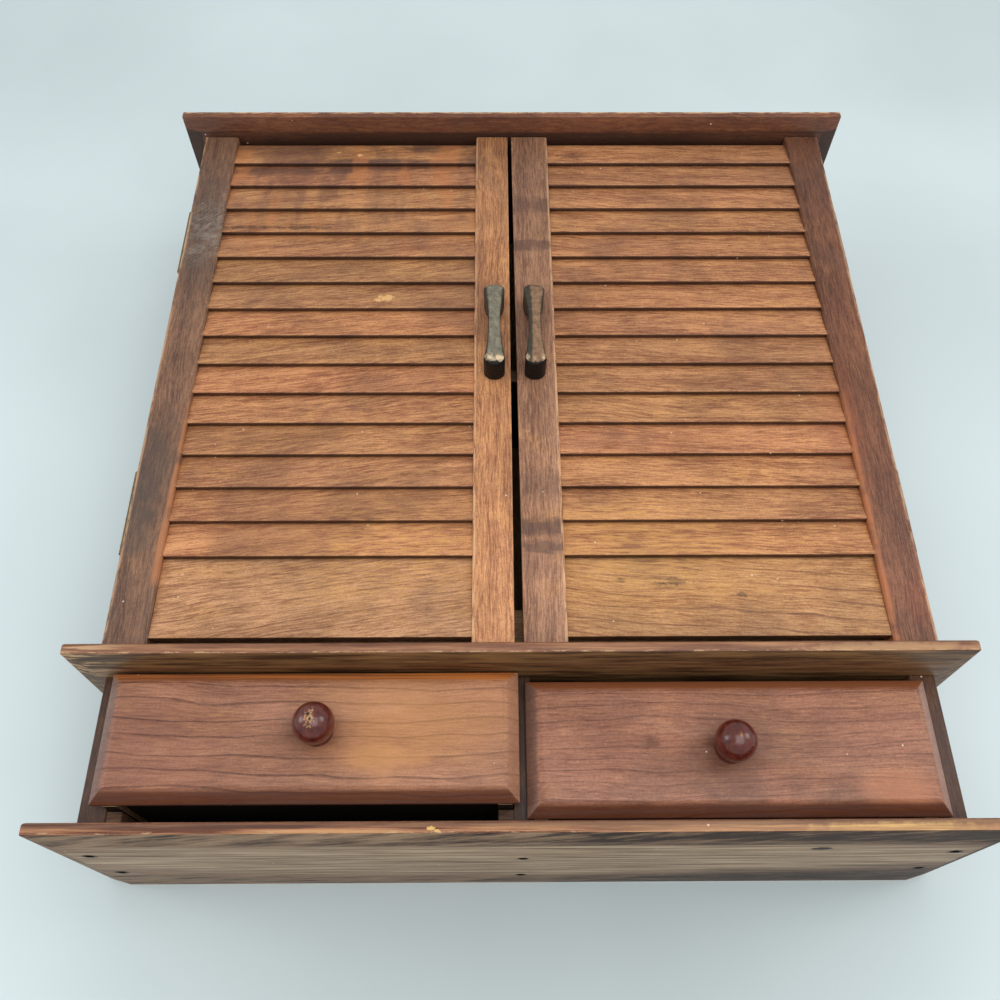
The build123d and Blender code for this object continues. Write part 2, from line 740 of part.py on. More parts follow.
for side, side_name in SIDES.items():
    bay_mid, rear, box_foot = drawer_frame(side)
    box_half = bay_w / 2 - box_side_fit
    box_rear = rear + box_len
    box_x0, box_x1 = bay_mid - box_half, bay_mid + box_half
    floor_z = box_foot + box_floor_lift
    groove = box_t / 2
    bottom_span = (box_x0 + groove, box_x1 - groove)

    drawer_front = make_drawer_front(side)
    drawer_front.part.label = f"drawer_front_{side_name}"
    export_step(drawer_front.part, f"parts/{drawer_front.part.label}.step")

    with BuildPart() as drawer_sides:
        for x0, x1 in ((box_x0, box_x0 + box_t), (box_x1 - box_t, box_x1)):
            slab(x0, x1, rear, box_rear, box_foot, box_foot + box_h)
        slab(*bottom_span, rear, box_rear - groove, floor_z, floor_z + box_floor_t, Mode.SUBTRACT)
    drawer_sides.part.label = f"drawer_sides_{side_name}"
    export_step(drawer_sides.part, f"parts/{drawer_sides.part.label}.step")

    with BuildPart() as drawer_back:
        slab(box_x0 + box_t, box_x1 - box_t, box_rear - box_t, box_rear, box_foot, box_foot + box_h)
        slab(box_x0, box_x1, rear, box_rear - groove, floor_z, floor_z + box_floor_t, Mode.SUBTRACT)
    drawer_back.part.label = f"drawer_back_{side_name}"
    export_step(drawer_back.part, f"parts/{drawer_back.part.label}.step")

    with BuildPart() as drawer_bottom:
        slab(*bottom_span, rear, box_rear - groove, floor_z, floor_z + box_floor_t)
    drawer_bottom.part.label = f"drawer_bottom_{side_name}"
    export_step(drawer_bottom.part, f"parts/{drawer_bottom.part.label}.step")

    knob = make_knob(side)
    knob.part.label = f"knob_{side_name}"
    export_step(knob.part, f"parts/{knob.part.label}.step")

    knob_x, _, knob_z = knob_seat(side)
    with BuildPart() as knob_screw:
        peg((knob_x, rear, knob_z), OUT, knob_screw_shape)
    knob_screw.part.label = f"knob_screw_{side_name}"
    export_step(knob_screw.part, f"parts/{knob_screw.part.label}.step")

print("overall", board_w, board_d, overall_h)
print("slat pitch", round(slat_pitch, 3), "lean", round(degrees(slat_lean), 2))
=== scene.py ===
# %% [markdown]
# # A louvred spice cabinet
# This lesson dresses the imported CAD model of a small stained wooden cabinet. The CAD solids keep their shape
# and place. Here they get eased edges, grain, stain, wear and metal, and then a camera, a surface and light.
# Everything is in metres in Blender, but grain and wear are easier to think about in millimetres, so the
# materials turn object coordinates into millimetres first.

import json
import math

import bpy
from mathutils import Matrix, Vector


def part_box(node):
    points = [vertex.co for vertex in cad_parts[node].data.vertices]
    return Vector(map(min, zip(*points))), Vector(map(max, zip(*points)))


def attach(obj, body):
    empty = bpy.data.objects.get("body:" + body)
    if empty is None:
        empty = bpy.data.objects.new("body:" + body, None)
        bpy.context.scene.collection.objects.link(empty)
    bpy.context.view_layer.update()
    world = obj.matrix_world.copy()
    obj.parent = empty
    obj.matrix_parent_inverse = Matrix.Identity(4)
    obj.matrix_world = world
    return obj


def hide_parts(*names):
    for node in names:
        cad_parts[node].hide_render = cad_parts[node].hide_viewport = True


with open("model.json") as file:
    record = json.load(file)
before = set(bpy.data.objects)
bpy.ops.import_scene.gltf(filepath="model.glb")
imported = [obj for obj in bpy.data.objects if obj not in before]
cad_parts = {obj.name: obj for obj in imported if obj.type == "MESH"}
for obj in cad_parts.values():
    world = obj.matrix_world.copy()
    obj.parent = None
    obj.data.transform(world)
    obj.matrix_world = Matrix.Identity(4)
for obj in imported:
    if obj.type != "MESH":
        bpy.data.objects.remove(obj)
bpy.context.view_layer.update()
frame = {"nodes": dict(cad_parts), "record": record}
MM = 0.001

# %% [markdown]
# ## The camera
# The cabinet was photographed from below and in front, with a wide phone lens held about 40 cm from the
# doors. A fit of its straight edges gives the place, the direction and the lens, so the same view comes back.

# %% Camera
CAMERA_AT = Vector((-10.27, -375.48, -60.4)) * MM
CAMERA_LOOK = Vector((0.0071, 0.8699, 0.4931)).normalized()
CAMERA_UP = Vector((0.003, -0.4932, 0.8699))
LENS_MM = 35.2
SENSOR_MM = 36.0
NEAREST_M = 0.01

camera_data = bpy.data.cameras.new("camera")
camera_data.lens = LENS_MM
camera_data.sensor_width = SENSOR_MM
camera_data.clip_start = NEAREST_M
camera = bpy.data.objects.new("camera", camera_data)
bpy.context.collection.objects.link(camera)
side = CAMERA_LOOK.cross(CAMERA_UP).normalized()
top = side.cross(CAMERA_LOOK)
camera.matrix_world = Matrix.Translation(CAMERA_AT) @ Matrix((side, top, -CAMERA_LOOK)).transposed().to_4x4()
bpy.context.scene.camera = camera
bpy.context.scene.view_settings.view_transform = "Standard"
print("camera at", tuple(camera.location))

# %% [markdown]
# ## A small kit for materials
# Every finish below is a tree of nodes. Written out one by one they would bury the idea, so a few helpers add
# a node, wire its inputs and hand back its output. Colours are written as they look on a screen, in sRGB from
# 0 to 255, and are turned to the linear numbers that Blender wants when they meet a colour socket. Places and
# sizes are in millimetres, and the scale of a noise is per millimetre.


# %% Colours
def srgb(red, green, blue):
    """A linear RGBA colour from screen values 0 to 255."""
    channels = [c / 255 for c in (red, green, blue)]
    linear = [c / 12.92 if c <= 0.04045 else ((c + 0.055) / 1.055) ** 2.4 for c in channels]
    return (*linear, 1.0)


# %% Node helpers
PER_METRE = 1000.0
BEVEL_SAMPLES = 4
THROUGH_MM = 20.0


class Finish:
    """A material whose nodes are added by short calls. Every call returns an output socket."""

    def __init__(self, name, roughness=0.5):
        self.material = bpy.data.materials.new(name)
        self.material.use_nodes = True
        self.nodes = self.material.node_tree.nodes
        self.links = self.material.node_tree.links
        self.shader = self.nodes["Principled BSDF"]
        self.shader.inputs["Roughness"].default_value = roughness
        coordinates = self.nodes.new("ShaderNodeTexCoord").outputs["Object"]
        self.mm = self.vector("SCALE", coordinates, scale=PER_METRE)
        self.x, self.y, self.z = self.split(self.mm)
        self.plain = self.nodes.new("ShaderNodeNewGeometry").outputs["Normal"]
        self.nx, self.ny, self.nz = self.split(self.plain)

    def wire(self, value, socket):
        """Links an output, or sets a number, a vector or a screen colour."""
        if isinstance(value, bpy.types.NodeSocket):
            self.links.new(value, socket)
        else:
            socket.default_value = srgb(*value) if socket.type == "RGBA" else value

    def split(self, value):
        node = self.nodes.new("ShaderNodeSeparateXYZ")
        self.wire(value, node.inputs[0])
        return node.outputs

    def combine(self, x, y, z):
        node = self.nodes.new("ShaderNodeCombineXYZ")
        for value, socket in zip((x, y, z), node.inputs):
            self.wire(value, socket)
        return node.outputs[0]

    def math(self, operation, first, second=0.0, third=0.0):
        node = self.nodes.new("ShaderNodeMath")
        node.operation = operation
        for value, socket in zip((first, second, third), node.inputs):
            self.wire(value, socket)
        return node.outputs[0]

    def times(self, *values):
        product = values[0]
        for value in values[1:]:
            product = self.math("MULTIPLY", product, value)
        return product

    def scaled(self, value, factor, shift):
        """The value times the factor, plus the shift."""
        return self.math("MULTIPLY_ADD", value, factor, shift)

    def vector(self, operation, first, second=None, scale=None):
        node = self.nodes.new("ShaderNodeVectorMath")
        node.operation = operation
        self.wire(first, node.inputs[0])
        if second is not None:
            self.wire(second, node.inputs[1])
        if scale is not None:
            self.wire(scale, node.inputs["Scale"])
        return node.outputs["Value" if operation in ("DOT_PRODUCT", "LENGTH") else "Vector"]

    def noise(self, where, scale=1.0, detail=2.0, rough=0.5, distortion=0.0):
        node = self.nodes.new("ShaderNodeTexNoise")
        self.wire(where, node.inputs["Vector"])
        node.inputs["Scale"].default_value = scale
        node.inputs["Detail"].default_value = detail
        node.inputs["Roughness"].default_value = rough
        node.inputs["Distortion"].default_value = distortion
        return node.outputs["Fac"]

    def drawn_out(self, scales, detail=3.0, rough=0.5):
        """Noise with its own scale along x, y and z, so that its spots turn into streaks."""
        where = self.combine(*(self.times(axis, scale) for axis, scale in zip((self.x, self.y, self.z), scales)))
        return self.noise(where, detail=detail, rough=rough)

    def cells(self, where, scale):
        """For each point, the distance to the middle of its cell and a random colour of that cell."""
        node = self.nodes.new("ShaderNodeTexVoronoi")
        self.wire(where, node.inputs["Vector"])
        node.inputs["Scale"].default_value = scale
        return node.outputs["Distance"], node.outputs["Color"]

    def chance(self, seed):
        """A random value and a random colour that depend on the seed alone."""
        node = self.nodes.new("ShaderNodeTexWhiteNoise")
        node.noise_dimensions = "1D"
        self.wire(seed, node.inputs["W"])
        return node.outputs["Value"], node.outputs["Color"]

    def fade(self, value, low, high, out_low=0.0, out_high=1.0, smooth=True):
        """From out_low to out_high while the value goes from low to high, and level beyond them."""
        node = self.nodes.new("ShaderNodeMapRange")
        node.interpolation_type = "SMOOTHSTEP" if smooth else "LINEAR"
        for number, socket in zip((value, low, high, out_low, out_high), node.inputs):
            self.wire(number, socket)
        return node.outputs[0]

    def ramp(self, value, *stops):
        node = self.nodes.new("ShaderNodeValToRGB")
        elements = node.color_ramp.elements
        while len(elements) < len(stops):
            elements.new(0.5)
        for element, (place, colour) in zip(elements, stops):
            element.position = place
            element.color = srgb(*colour)
        self.wire(value, node.inputs[0])
        return node.outputs[0]

    def mix(self, amount, first, second, blend="MIX"):
        """The second colour over the first. For colours, the node has sockets 6 and 7 and its result is 2."""
        node = self.nodes.new("ShaderNodeMix")
        node.data_type = "RGBA"
        node.blend_type = blend
        self.wire(amount, node.inputs["Factor"])
        self.wire(first, node.inputs[6])
        self.wire(second, node.inputs[7])
        return node.outputs[2]

    def shade(self, colour, tone):
        """The colour made lighter or darker by a number or a socket."""
        return self.mix(1.0, colour, self.combine(tone, tone, tone), "MULTIPLY")

    def arris(self, reach_mm, ease=0.35):
        """1 on sharp edges, 0 on flats, from how far a rounded normal leans from the true one."""
        rounded = self.nodes.new("ShaderNodeBevel")
        rounded.samples = BEVEL_SAMPLES
        rounded.inputs["Radius"].default_value = reach_mm * MM
        agree = self.vector("DOT_PRODUCT", rounded.outputs[0], self.plain)
        return self.fade(agree, 1.0, 1.0 - ease, smooth=False)

    def blot(self, centre, size, edge):
        """1 inside an ellipsoid of half-sizes size about centre, 0 outside. Its edge is soft, ragged and grained."""
        soft, ragged, grain = edge
        away = self.vector("DIVIDE", self.vector("SUBTRACT", self.mm, centre), size)
        rough = self.scaled(self.noise(self.mm, grain, 3.0, 0.6), ragged * 4, -ragged * 2)
        distance = self.math("ADD", self.vector("LENGTH", away), rough)
        return self.fade(distance, 1.0 + soft / 2, 1.0 - soft / 2)

    def stain(self, colour, centre, size, new, amount, edge):
        """The new colour on a blot."""
        return self.mix(self.times(self.blot(centre, size, edge), amount), colour, new)

    def spots(self, colour, y, places, new, edge):
        """Stains on a front at depth y. Each place is x, z, half width, half height and amount."""
        for x, z, wide, high, amount in places:
            colour = self.stain(colour, (x, y, z), (wide, THROUGH_MM, high), new, amount, edge)
        return colour

    def bump(self, height, depth_mm, strength):
        node = self.nodes.new("ShaderNodeBump")
        node.inputs["Strength"].default_value = strength
        node.inputs["Distance"].default_value = depth_mm * MM
        self.wire(height, node.inputs["Height"])
        return node.outputs[0]

    def set(self, name, value):
        self.wire(value, self.shader.inputs[name])


# %% [markdown]
# ## Grain
# Pine that is cut into thin boards shows broad pale and dark streaks, thin dark late-wood lines a few
# millimetres apart, fine fibres, and short dark pores. Streaks, fibres and pores are one trick: noise in space
# that is squeezed across the board and stretched along it. The late-wood lines are contours: the height across
# the board, bent by slow noise, is divided by their spacing, and each whole number is a line. A seed shifts
# each board to its own stretch of the same endless log, so no two show the same figure.

# %% Grain
SEED_ALONG_MM = 731.0
SEED_ACROSS_MM = 97.0
BEND_MM = 9.0


def grain(f, along, seed, slope, line_mm, wander, thin):
    """Streaks, lines, fibres and pores, each about 0 to 1, for boards that run along X or Z."""
    run, across, deep = {"X": (f.x, f.z, f.y), "Z": (f.z, f.x, f.y)}[along]
    run = f.math("ADD", run, f.math("MULTIPLY", seed, SEED_ALONG_MM))
    across = f.math("ADD", across, f.math("MULTIPLY", seed, SEED_ACROSS_MM))
    slow = f.noise(f.combine(f.times(run, 0.013), f.times(across, 0.035), seed))
    bent = f.scaled(slow, BEND_MM, f.scaled(run, slope, across))

    def squeezed(along_scale, across_scale, detail, rough):
        where = f.combine(f.times(run, along_scale), f.times(bent, across_scale), f.times(deep, across_scale * 0.5))
        return f.noise(where, detail=detail, rough=rough)

    streaks = squeezed(0.014, 0.2, detail=3.0, rough=0.6)
    fibres = squeezed(0.11, 1.4, detail=5.0, rough=0.85)
    pores = squeezed(0.3, 2.3, detail=2.0, rough=0.6)
    drift = f.noise(f.combine(f.times(run, 0.011), f.times(across, 0.06), seed), detail=3.0, rough=0.55)
    ring = f.math("FRACT", f.scaled(drift, wander, f.math("DIVIDE", bent, line_mm)))
    lines = f.times(f.fade(ring, thin, 0.95), f.fade(ring, 1.0, 0.965))
    return streaks, lines, fibres, pores


# %% [markdown]
# ## Stained wood
# One function makes every stained board. Streaks and fibres choose between a dark and a light stain colour,
# slow patches lean to gold, late-wood lines and pores darken it, and blotches of old stain make it greyer.
# Then come the marks of the one board. The arrises are rubbed through to paler wood, and a few dust specks lie
# on it. The coat is a worn satin, a little duller between the fibres.

# %% Wood
DULL = (0.6, 0.75)
GOLD = (206, 150, 84)
SPECK = (232, 212, 190)


def stained_wood(
    name, along, dark, light, seed, gilding=0.45, blotch=0.35, blotch_colour=(92, 68, 58), worn=(210, 160, 116),
    wear=0.7, slope=0.0, line_mm=4.0, wander=2.0, line_depth=0.55, line_colour=(84, 46, 32), thin=0.74, dashed=0.75,
    streak=0.9, fibre=1.0, specks=0.5, roughness=(0.4, 0.58), marks=None,
):
    """A board's material, with streaks and fibres as strong as their numbers say.

    Late-wood lines are line_mm apart, wander, lean by slope, and are finer and more broken with thin and dashed.
    The marks are a function that changes the colour before it is rubbed and dusted.
    """
    f = Finish(name)
    streaks, lines, fibres, pores = grain(f, along, seed, slope, line_mm, wander, thin)
    fine = f.times(f.math("SUBTRACT", fibres, 0.5), fibre * 2.5)
    body = f.math("ADD", f.scaled(streaks, streak, 0.5 - streak / 2), fine)
    colour = f.ramp(body, (0.22, dark), (0.78, light))
    patches = f.noise(f.combine(f.times(f.x, 0.03), f.times(f.z, 0.05), f.y), detail=4.0, rough=0.65)
    warm = f.times(f.fade(patches, 0.5, 0.68), f.fade(fibres, 0.4, 0.62), gilding)
    colour = f.mix(warm, colour, GOLD)
    gaps = f.times(f.fade(pores, 0.42, 0.58, 1.0 - dashed, 1.0), f.fade(streaks, 0.35, 0.6, 1.0, 1.1 - dashed))
    broken = f.times(lines, gaps)
    colour = f.mix(f.times(broken, line_depth), colour, line_colour)
    colour = f.mix(f.times(f.fade(pores, 0.62, 0.72), 0.5 * fibre), colour, line_colour)
    cloud = f.noise(f.mm, 0.021, detail=3.0, rough=0.6, distortion=0.6)
    colour = f.mix(f.times(f.fade(cloud, 0.5, 0.68), blotch), colour, blotch_colour)
    soft = f.fade(f.noise(f.mm, 0.034), 0.35, 0.65, 0.9, 1.1)
    crisp = f.fade(f.noise(f.mm, 1.2, detail=3.0, rough=0.8), 0.3, 0.7, 0.8, 1.2, smooth=False)
    colour = f.shade(colour, f.times(soft, crisp))
    if marks:
        colour = marks(f, colour)
    rub = f.times(f.arris(1.1), f.fade(f.noise(f.mm, 0.25, detail=5.0, rough=0.75), 0.47, 0.6))
    colour = f.mix(f.times(rub, wear), colour, worn)
    near, cell = f.cells(f.mm, 0.2)
    size = f.fade(f.split(cell)[0], 1.0 - 0.3 * specks, 1.0, 0.0, 0.075)
    colour = f.mix(f.times(f.math("LESS_THAN", near, size), 0.8), colour, SPECK)
    f.set("Base Color", colour)
    f.set("Roughness", f.fade(fibres, 0.3, 0.7, roughness[1], roughness[0]))
    f.set("Specular IOR Level", 0.4)
    f.set("Normal", f.bump(f.math("SUBTRACT", fibres, f.times(lines, 0.35)), depth_mm=0.16, strength=0.5))
    return f.material


# %% [markdown]
# ## Eased edges
# A planed board never has a knife edge, and the eye reads the thin highlight along an arris. CAD solids are
# exact, so each visible one is copied, its loose triangles are merged, flat faces are joined again, and a
# narrow bevel goes round it. The copy replaces the CAD node in the picture and rides on the same body.

# %% Eased copies
MERGE_M = 1e-6
FLAT_ANGLE = math.radians(1.0)
SHARP_ANGLE = math.radians(28.0)
SMOOTH_ANGLE = math.radians(40.0)


def body_of(node):
    return next(body for body, names in frame["record"]["behaviour"]["bodies"].items() if node in names)


def select_only(piece):
    bpy.ops.object.select_all(action="DESELECT")
    piece.select_set(True)
    bpy.context.view_layer.objects.active = piece


def merged_copy(node):
    """A new object with the merged mesh of a CAD node, its flat faces joined again."""
    piece = frame["nodes"][node].copy()
    piece.data = frame["nodes"][node].data.copy()
    piece.name = node + "_dressed"
    piece.parent = None
    bpy.context.collection.objects.link(piece)
    piece.matrix_world = Matrix.Identity(4)
    select_only(piece)
    bpy.ops.object.mode_set(mode="EDIT")
    bpy.ops.mesh.select_all(action="SELECT")
    bpy.ops.mesh.remove_doubles(threshold=MERGE_M)
    bpy.ops.mesh.dissolve_limited(angle_limit=FLAT_ANGLE)
    bpy.ops.object.mode_set(mode="OBJECT")
    return piece


def round_edges(piece, chosen, width_mm, segments):
    """Rounds the edges for which chosen(first, second) holds, with their ends in millimetres."""
    select_only(piece)
    bpy.ops.object.mode_set(mode="EDIT")
    bpy.ops.mesh.select_all(action="DESELECT")
    bpy.ops.object.mode_set(mode="OBJECT")
    corners = [v.co / MM for v in piece.data.vertices]
    for edge in piece.data.edges:
        edge.select = chosen(corners[edge.vertices[0]], corners[edge.vertices[1]])
    bpy.ops.object.mode_set(mode="EDIT")
    bpy.ops.mesh.bevel(offset=width_mm * MM, segments=segments, affect="EDGES")
    bpy.ops.object.mode_set(mode="OBJECT")


def take_place(piece, node, material):
    """Gives the material, and lets the piece take the place of its node."""
    piece.data.materials.clear()
    piece.data.materials.append(material)
    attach(piece, body_of(node))
    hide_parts(node)


def finish_piece(piece, node, material, ease_mm, segments=2):
    """Eases what is still sharp before the piece takes its place."""
    select_only(piece)
    bevel = piece.modifiers.new("ease", "BEVEL")
    bevel.width = ease_mm * MM
    bevel.segments = segments
    bevel.limit_method = "ANGLE"
    bevel.angle_limit = SHARP_ANGLE
    bpy.ops.object.modifier_apply(modifier=bevel.name)
    bpy.ops.object.shade_smooth_by_angle(angle=SMOOTH_ANGLE)
    take_place(piece, node, material)


def dress(node, material, ease_mm=0.3, segments=2):
    finish_piece(merged_copy(node), node, material, ease_mm, segments)


def recolour(node, material):
    """Gives a CAD node that stays as it is a better material."""
    for place in frame["nodes"][node].material_slots:
        place.link = "OBJECT"
        place.material = material


# %% [markdown]
# ## The three moulded boards
# Top, waist and base are the same board three times, but each has worn its own way. The base is rubbed to
# gold along its front face and has painted shade along its upper arris, its bevel is grey-brown with slanting
# dark figure, and its underside never got much stain: it is a grey-beige with soft stripes and the dark bruises of
# nails.

# %% Boards
BOARD_FRONT_Y = -44.5
BOARD_EASE_MM = 0.35


def board_sides(f):
    """0 to 1 masks of a moulded board: its upright faces, its bevel, its underside."""
    down = f.times(f.nz, -1.0)
    under = f.fade(down, 0.985, 0.995)
    bevel = f.times(f.fade(down, 0.5, 0.7), f.math("SUBTRACT", 1.0, under))
    return f.fade(f.math("ABSOLUTE", down), 0.6, 0.4), bevel, under


def flecks(f, colour, low, high, new, amount, spread=0.55):
    """Worn flecks along the front of a board, between two heights."""
    squeezed = f.combine(f.times(f.x, 0.16), f.times(f.z, 0.9), f.times(f.y, 0.4))
    ragged = f.noise(squeezed, detail=5.0, rough=0.75)
    band = f.times(f.fade(f.z, low - 0.5, low + 0.3), f.fade(f.z, high + 0.5, high - 0.3))
    return f.mix(f.times(band, f.fade(ragged, spread, spread + 0.07), amount), colour, new)


def base_marks(f, colour):
    """The rubbed front face with painted shade along its upper arris, the figured bevel, and the underside with its
    nails.
    """
    face, bevel, under = board_sides(f)
    stripes = f.drawn_out((0.018, 0.42, 0.6), detail=5.0, rough=0.65)
    front = f.ramp(stripes, (0.41, (96, 54, 38)), (0.5, (166, 114, 82)), (0.62, (206, 156, 108)))
    colour = f.mix(f.times(face, 0.85), colour, front)
    colour = f.mix(f.times(face, f.fade(f.x, 0.0, 60.0), 0.45), colour, (212, 164, 122))

    slant = f.scaled(f.y, 5.0, f.x)
    figure = f.noise(f.combine(f.times(slant, 0.075), f.times(f.y, 0.2), 2.0), detail=5.0, rough=0.7)
    figure = f.math("SUBTRACT", figure, f.fade(f.x, -60.0, 90.0, -0.045, 0.1))
    bevel = f.math("MAXIMUM", bevel, f.times(under, f.fade(f.y, -33.2, -35.2), 0.85))
    slope = f.ramp(figure, (0.41, (46, 34, 27)), (0.49, (108, 84, 65)), (0.62, (154, 126, 99)))
    soft = f.ramp(stripes, (0.38, (112, 88, 66)), (0.5, (162, 136, 110)), (0.62, (192, 168, 140)))
    colour = f.mix(bevel, f.mix(under, colour, soft), slope)
    colour = f.mix(f.times(bevel, f.fade(f.x, 10.0, 90.0), 0.28), colour, (74, 50, 36))

    # Painted shade along the upper arris of the front face.
    arris_shade = f.scaled(f.drawn_out((0.05, 1.0, 1.0), detail=4.0, rough=0.7), 2.4, f.z)
    colour = f.mix(f.times(face, f.fade(arris_shade, 5.0, 6.1), 0.6), colour, (84, 60, 50))
    rubbed = f.times(face, f.fade(stripes, 0.42, 0.54, 0.3, 0.85))
    gold, chip = (224, 182, 116), (222, 180, 108)
    patch = (122.0, BOARD_FRONT_Y, 3.5)
    colour = f.stain(colour, patch, (24.0, 6.0, 1.6), gold, rubbed, edge=(1.0, 0.5, 0.25))
    for x, z, wide in ((-31.0, 4.0, 1.1), (-29.2, 3.1, 0.9), (-28.0, 2.2, 0.7)):
        colour = f.stain(colour, (x, BOARD_FRONT_Y, z), (wide, 3.0, 0.6), chip, face, edge=(0.4, 0.9, 0.9))
    colour = flecks(f, colour, 1.8, 3.0, (208, 174, 134), f.times(face, 0.7))

    nailed = (46, 36, 32)
    for x in (-150.25, 150.25):
        for y in (-19.8, 14.2):
            colour = f.stain(colour, (x, y, 0.0), (2.7, 2.9, 2.0), nailed, 0.9, edge=(0.4, 0.3, 0.8))
    for y in (-10.3, 25.2):
        colour = f.stain(colour, (0.0, y, 0.0), (2.4, 2.2, 2.0), (82, 66, 54), 0.7, edge=(0.5, 0.3, 0.8))
    hole = (101.6, -27.1, 0.0)
    return f.stain(colour, hole, (3.6, 2.2, 2.0), (34, 26, 22), 1.0, edge=(0.4, 0.2, 0.8))


base_wood = stained_wood(
    "base_board_wood", "X", (96, 60, 46), (150, 102, 74), seed=0.31, wear=0.8, gilding=0.3,
    roughness=DULL, marks=base_marks,
)
dress("base_board", base_wood, BOARD_EASE_MM)


def waist_marks(f, colour):
    """Plum faces, olive below, and paler wood where the front face and the left end are rubbed."""
    face, bevel, under = board_sides(f)
    stripes = f.drawn_out((0.03, 0.5, 0.7), detail=5.0, rough=0.65)
    plum = f.ramp(stripes, (0.34, (96, 58, 44)), (0.52, (146, 100, 72)), (0.7, (184, 136, 96)))
    colour = f.mix(f.times(face, 0.9), colour, plum)
    olive = f.ramp(stripes, (0.4, (66, 44, 26)), (0.6, (132, 98, 62)))
    colour = f.mix(f.math("MAXIMUM", bevel, under), colour, olive)
    patch, rubbed = (134.0, BOARD_FRONT_Y, 66.0), f.times(face, 0.6)
    colour = f.stain(colour, patch, (28.0, 8.0, 2.0), (190, 150, 106), rubbed, edge=(1.0, 0.5, 0.2))
    split = f.fade(stripes, 0.5, 0.54)
    near_end = f.times(f.fade(f.x, -138.0, -158.0), f.fade(f.y, -22.0, -34.0), split, 0.75)
    colour = f.mix(near_end, colour, (204, 166, 124))
    return flecks(f, colour, 64.2, 65.3, (206, 166, 124), f.times(face, 0.75), spread=0.5)


waist_wood = stained_wood(
    "waist_shelf_wood", "X", (88, 54, 40), (140, 94, 66), seed=0.77, wear=0.9, gilding=0.3,
    marks=waist_marks,
)
dress("waist_shelf", waist_wood, BOARD_EASE_MM)


def top_marks(f, colour):
    """A slightly darker bevel, and painted shade on the underside and bevel just in front of the doors."""
    face, bevel, under = board_sides(f)
    colour = f.mix(f.times(bevel, 0.35), colour, (92, 52, 34))
    # Painted shade where the underside meets the doors.
    close = f.times(f.math("MAXIMUM", bevel, under), f.fade(f.y, -38.2, -36.2), 0.85)
    colour = f.mix(close, colour, (44, 27, 20))
    return flecks(f, colour, 350.2, 351.4, (214, 172, 132), face, spread=0.47)


top_wood = stained_wood(
    "top_board_wood", "X", (92, 52, 36), (138, 86, 58), seed=0.12, wear=0.95, gilding=0.2,
    marks=top_marks,
)
dress("top_board", top_wood, BOARD_EASE_MM)

# %% [markdown]
# ## The case
# The sides, the divider and everything inside are a darker, flatter stain. Little of it shows from the front,
# but it fills the view when a door swings open.


# %% Case
def painted_shade_at_drawers(f, colour):
    """Painted shade, nearly black, on the front edges beside the drawers."""
    edge = f.times(f.fade(f.ny, -0.6, -0.9), f.fade(f.z, 68.0, 64.0))
    return f.mix(f.times(edge, f.fade(f.math("ABSOLUTE", f.x), 20.0, 60.0, 0.75, 0.5)), colour, (40, 26, 21))


case_wood = stained_wood(
    "case_wood", "Z", (78, 50, 40), (122, 84, 62), seed=0.55, wear=0.5, specks=0.2, marks=painted_shade_at_drawers,
)
for node in ("upper_side_left", "upper_side_right", "lower_side_left", "lower_side_right", "drawer_divider"):
    dress(node, case_wood)


def painted_shade_below(f, colour):
    """Faces that look down get painted shade, nearly black."""
    return f.mix(f.fade(f.nz, -0.3, -0.8), colour, (24, 17, 13))


inner_wood = stained_wood(
    "inner_wood", "X", (92, 68, 48), (142, 112, 80), seed=0.9, wear=0.3, specks=0.3, gilding=0.2,
    roughness=DULL, marks=painted_shade_below,
)
for node in ("jar_shelf", "jar_rail"):
    dress(node, inner_wood)
runner_wood = stained_wood(
    "runner_wood", "X", (62, 42, 32), (104, 74, 54), seed=0.6, wear=0.3, specks=0.2, gilding=0.1,
    roughness=DULL, marks=painted_shade_below,
)
for node in ("drawer_runners_left", "drawer_runners_right"):
    dress(node, runner_wood)


def painted_shade_in_bays(f, colour):
    """Inside the drawer bays, painted shade makes the face of the back panel nearly black."""
    return f.mix(f.times(f.fade(f.z, 72.0, 62.0, 0.0, 0.85), f.fade(f.ny, -0.3, -0.8)), colour, (24, 18, 14))


back_wood = stained_wood(
    "back_panel_wood", "Z", (92, 70, 46), (146, 116, 80), seed=0.4, wear=0.3, specks=0.3, gilding=0.2,
    roughness=DULL, marks=painted_shade_in_bays,
)
recolour("back_panel", back_wood)

# %% [markdown]
# ## The doors
# Each slat is its own strip of wood, so each gets its own tone and figure. Slats repeat at an even pitch, so
# the height above the lowest one, divided by the pitch and rounded down, numbers them, and a random value for
# that number gives the tone. Under the foot of each slat the one below gets painted shadow and a little dust,
# faces that look down get painted shade, and painted light makes the slats paler towards the foot of the door.

# %% Slats
SLAT_FOOT = 108.6
SLAT_PITCH = 15.587
SLAT_Y = -33.0


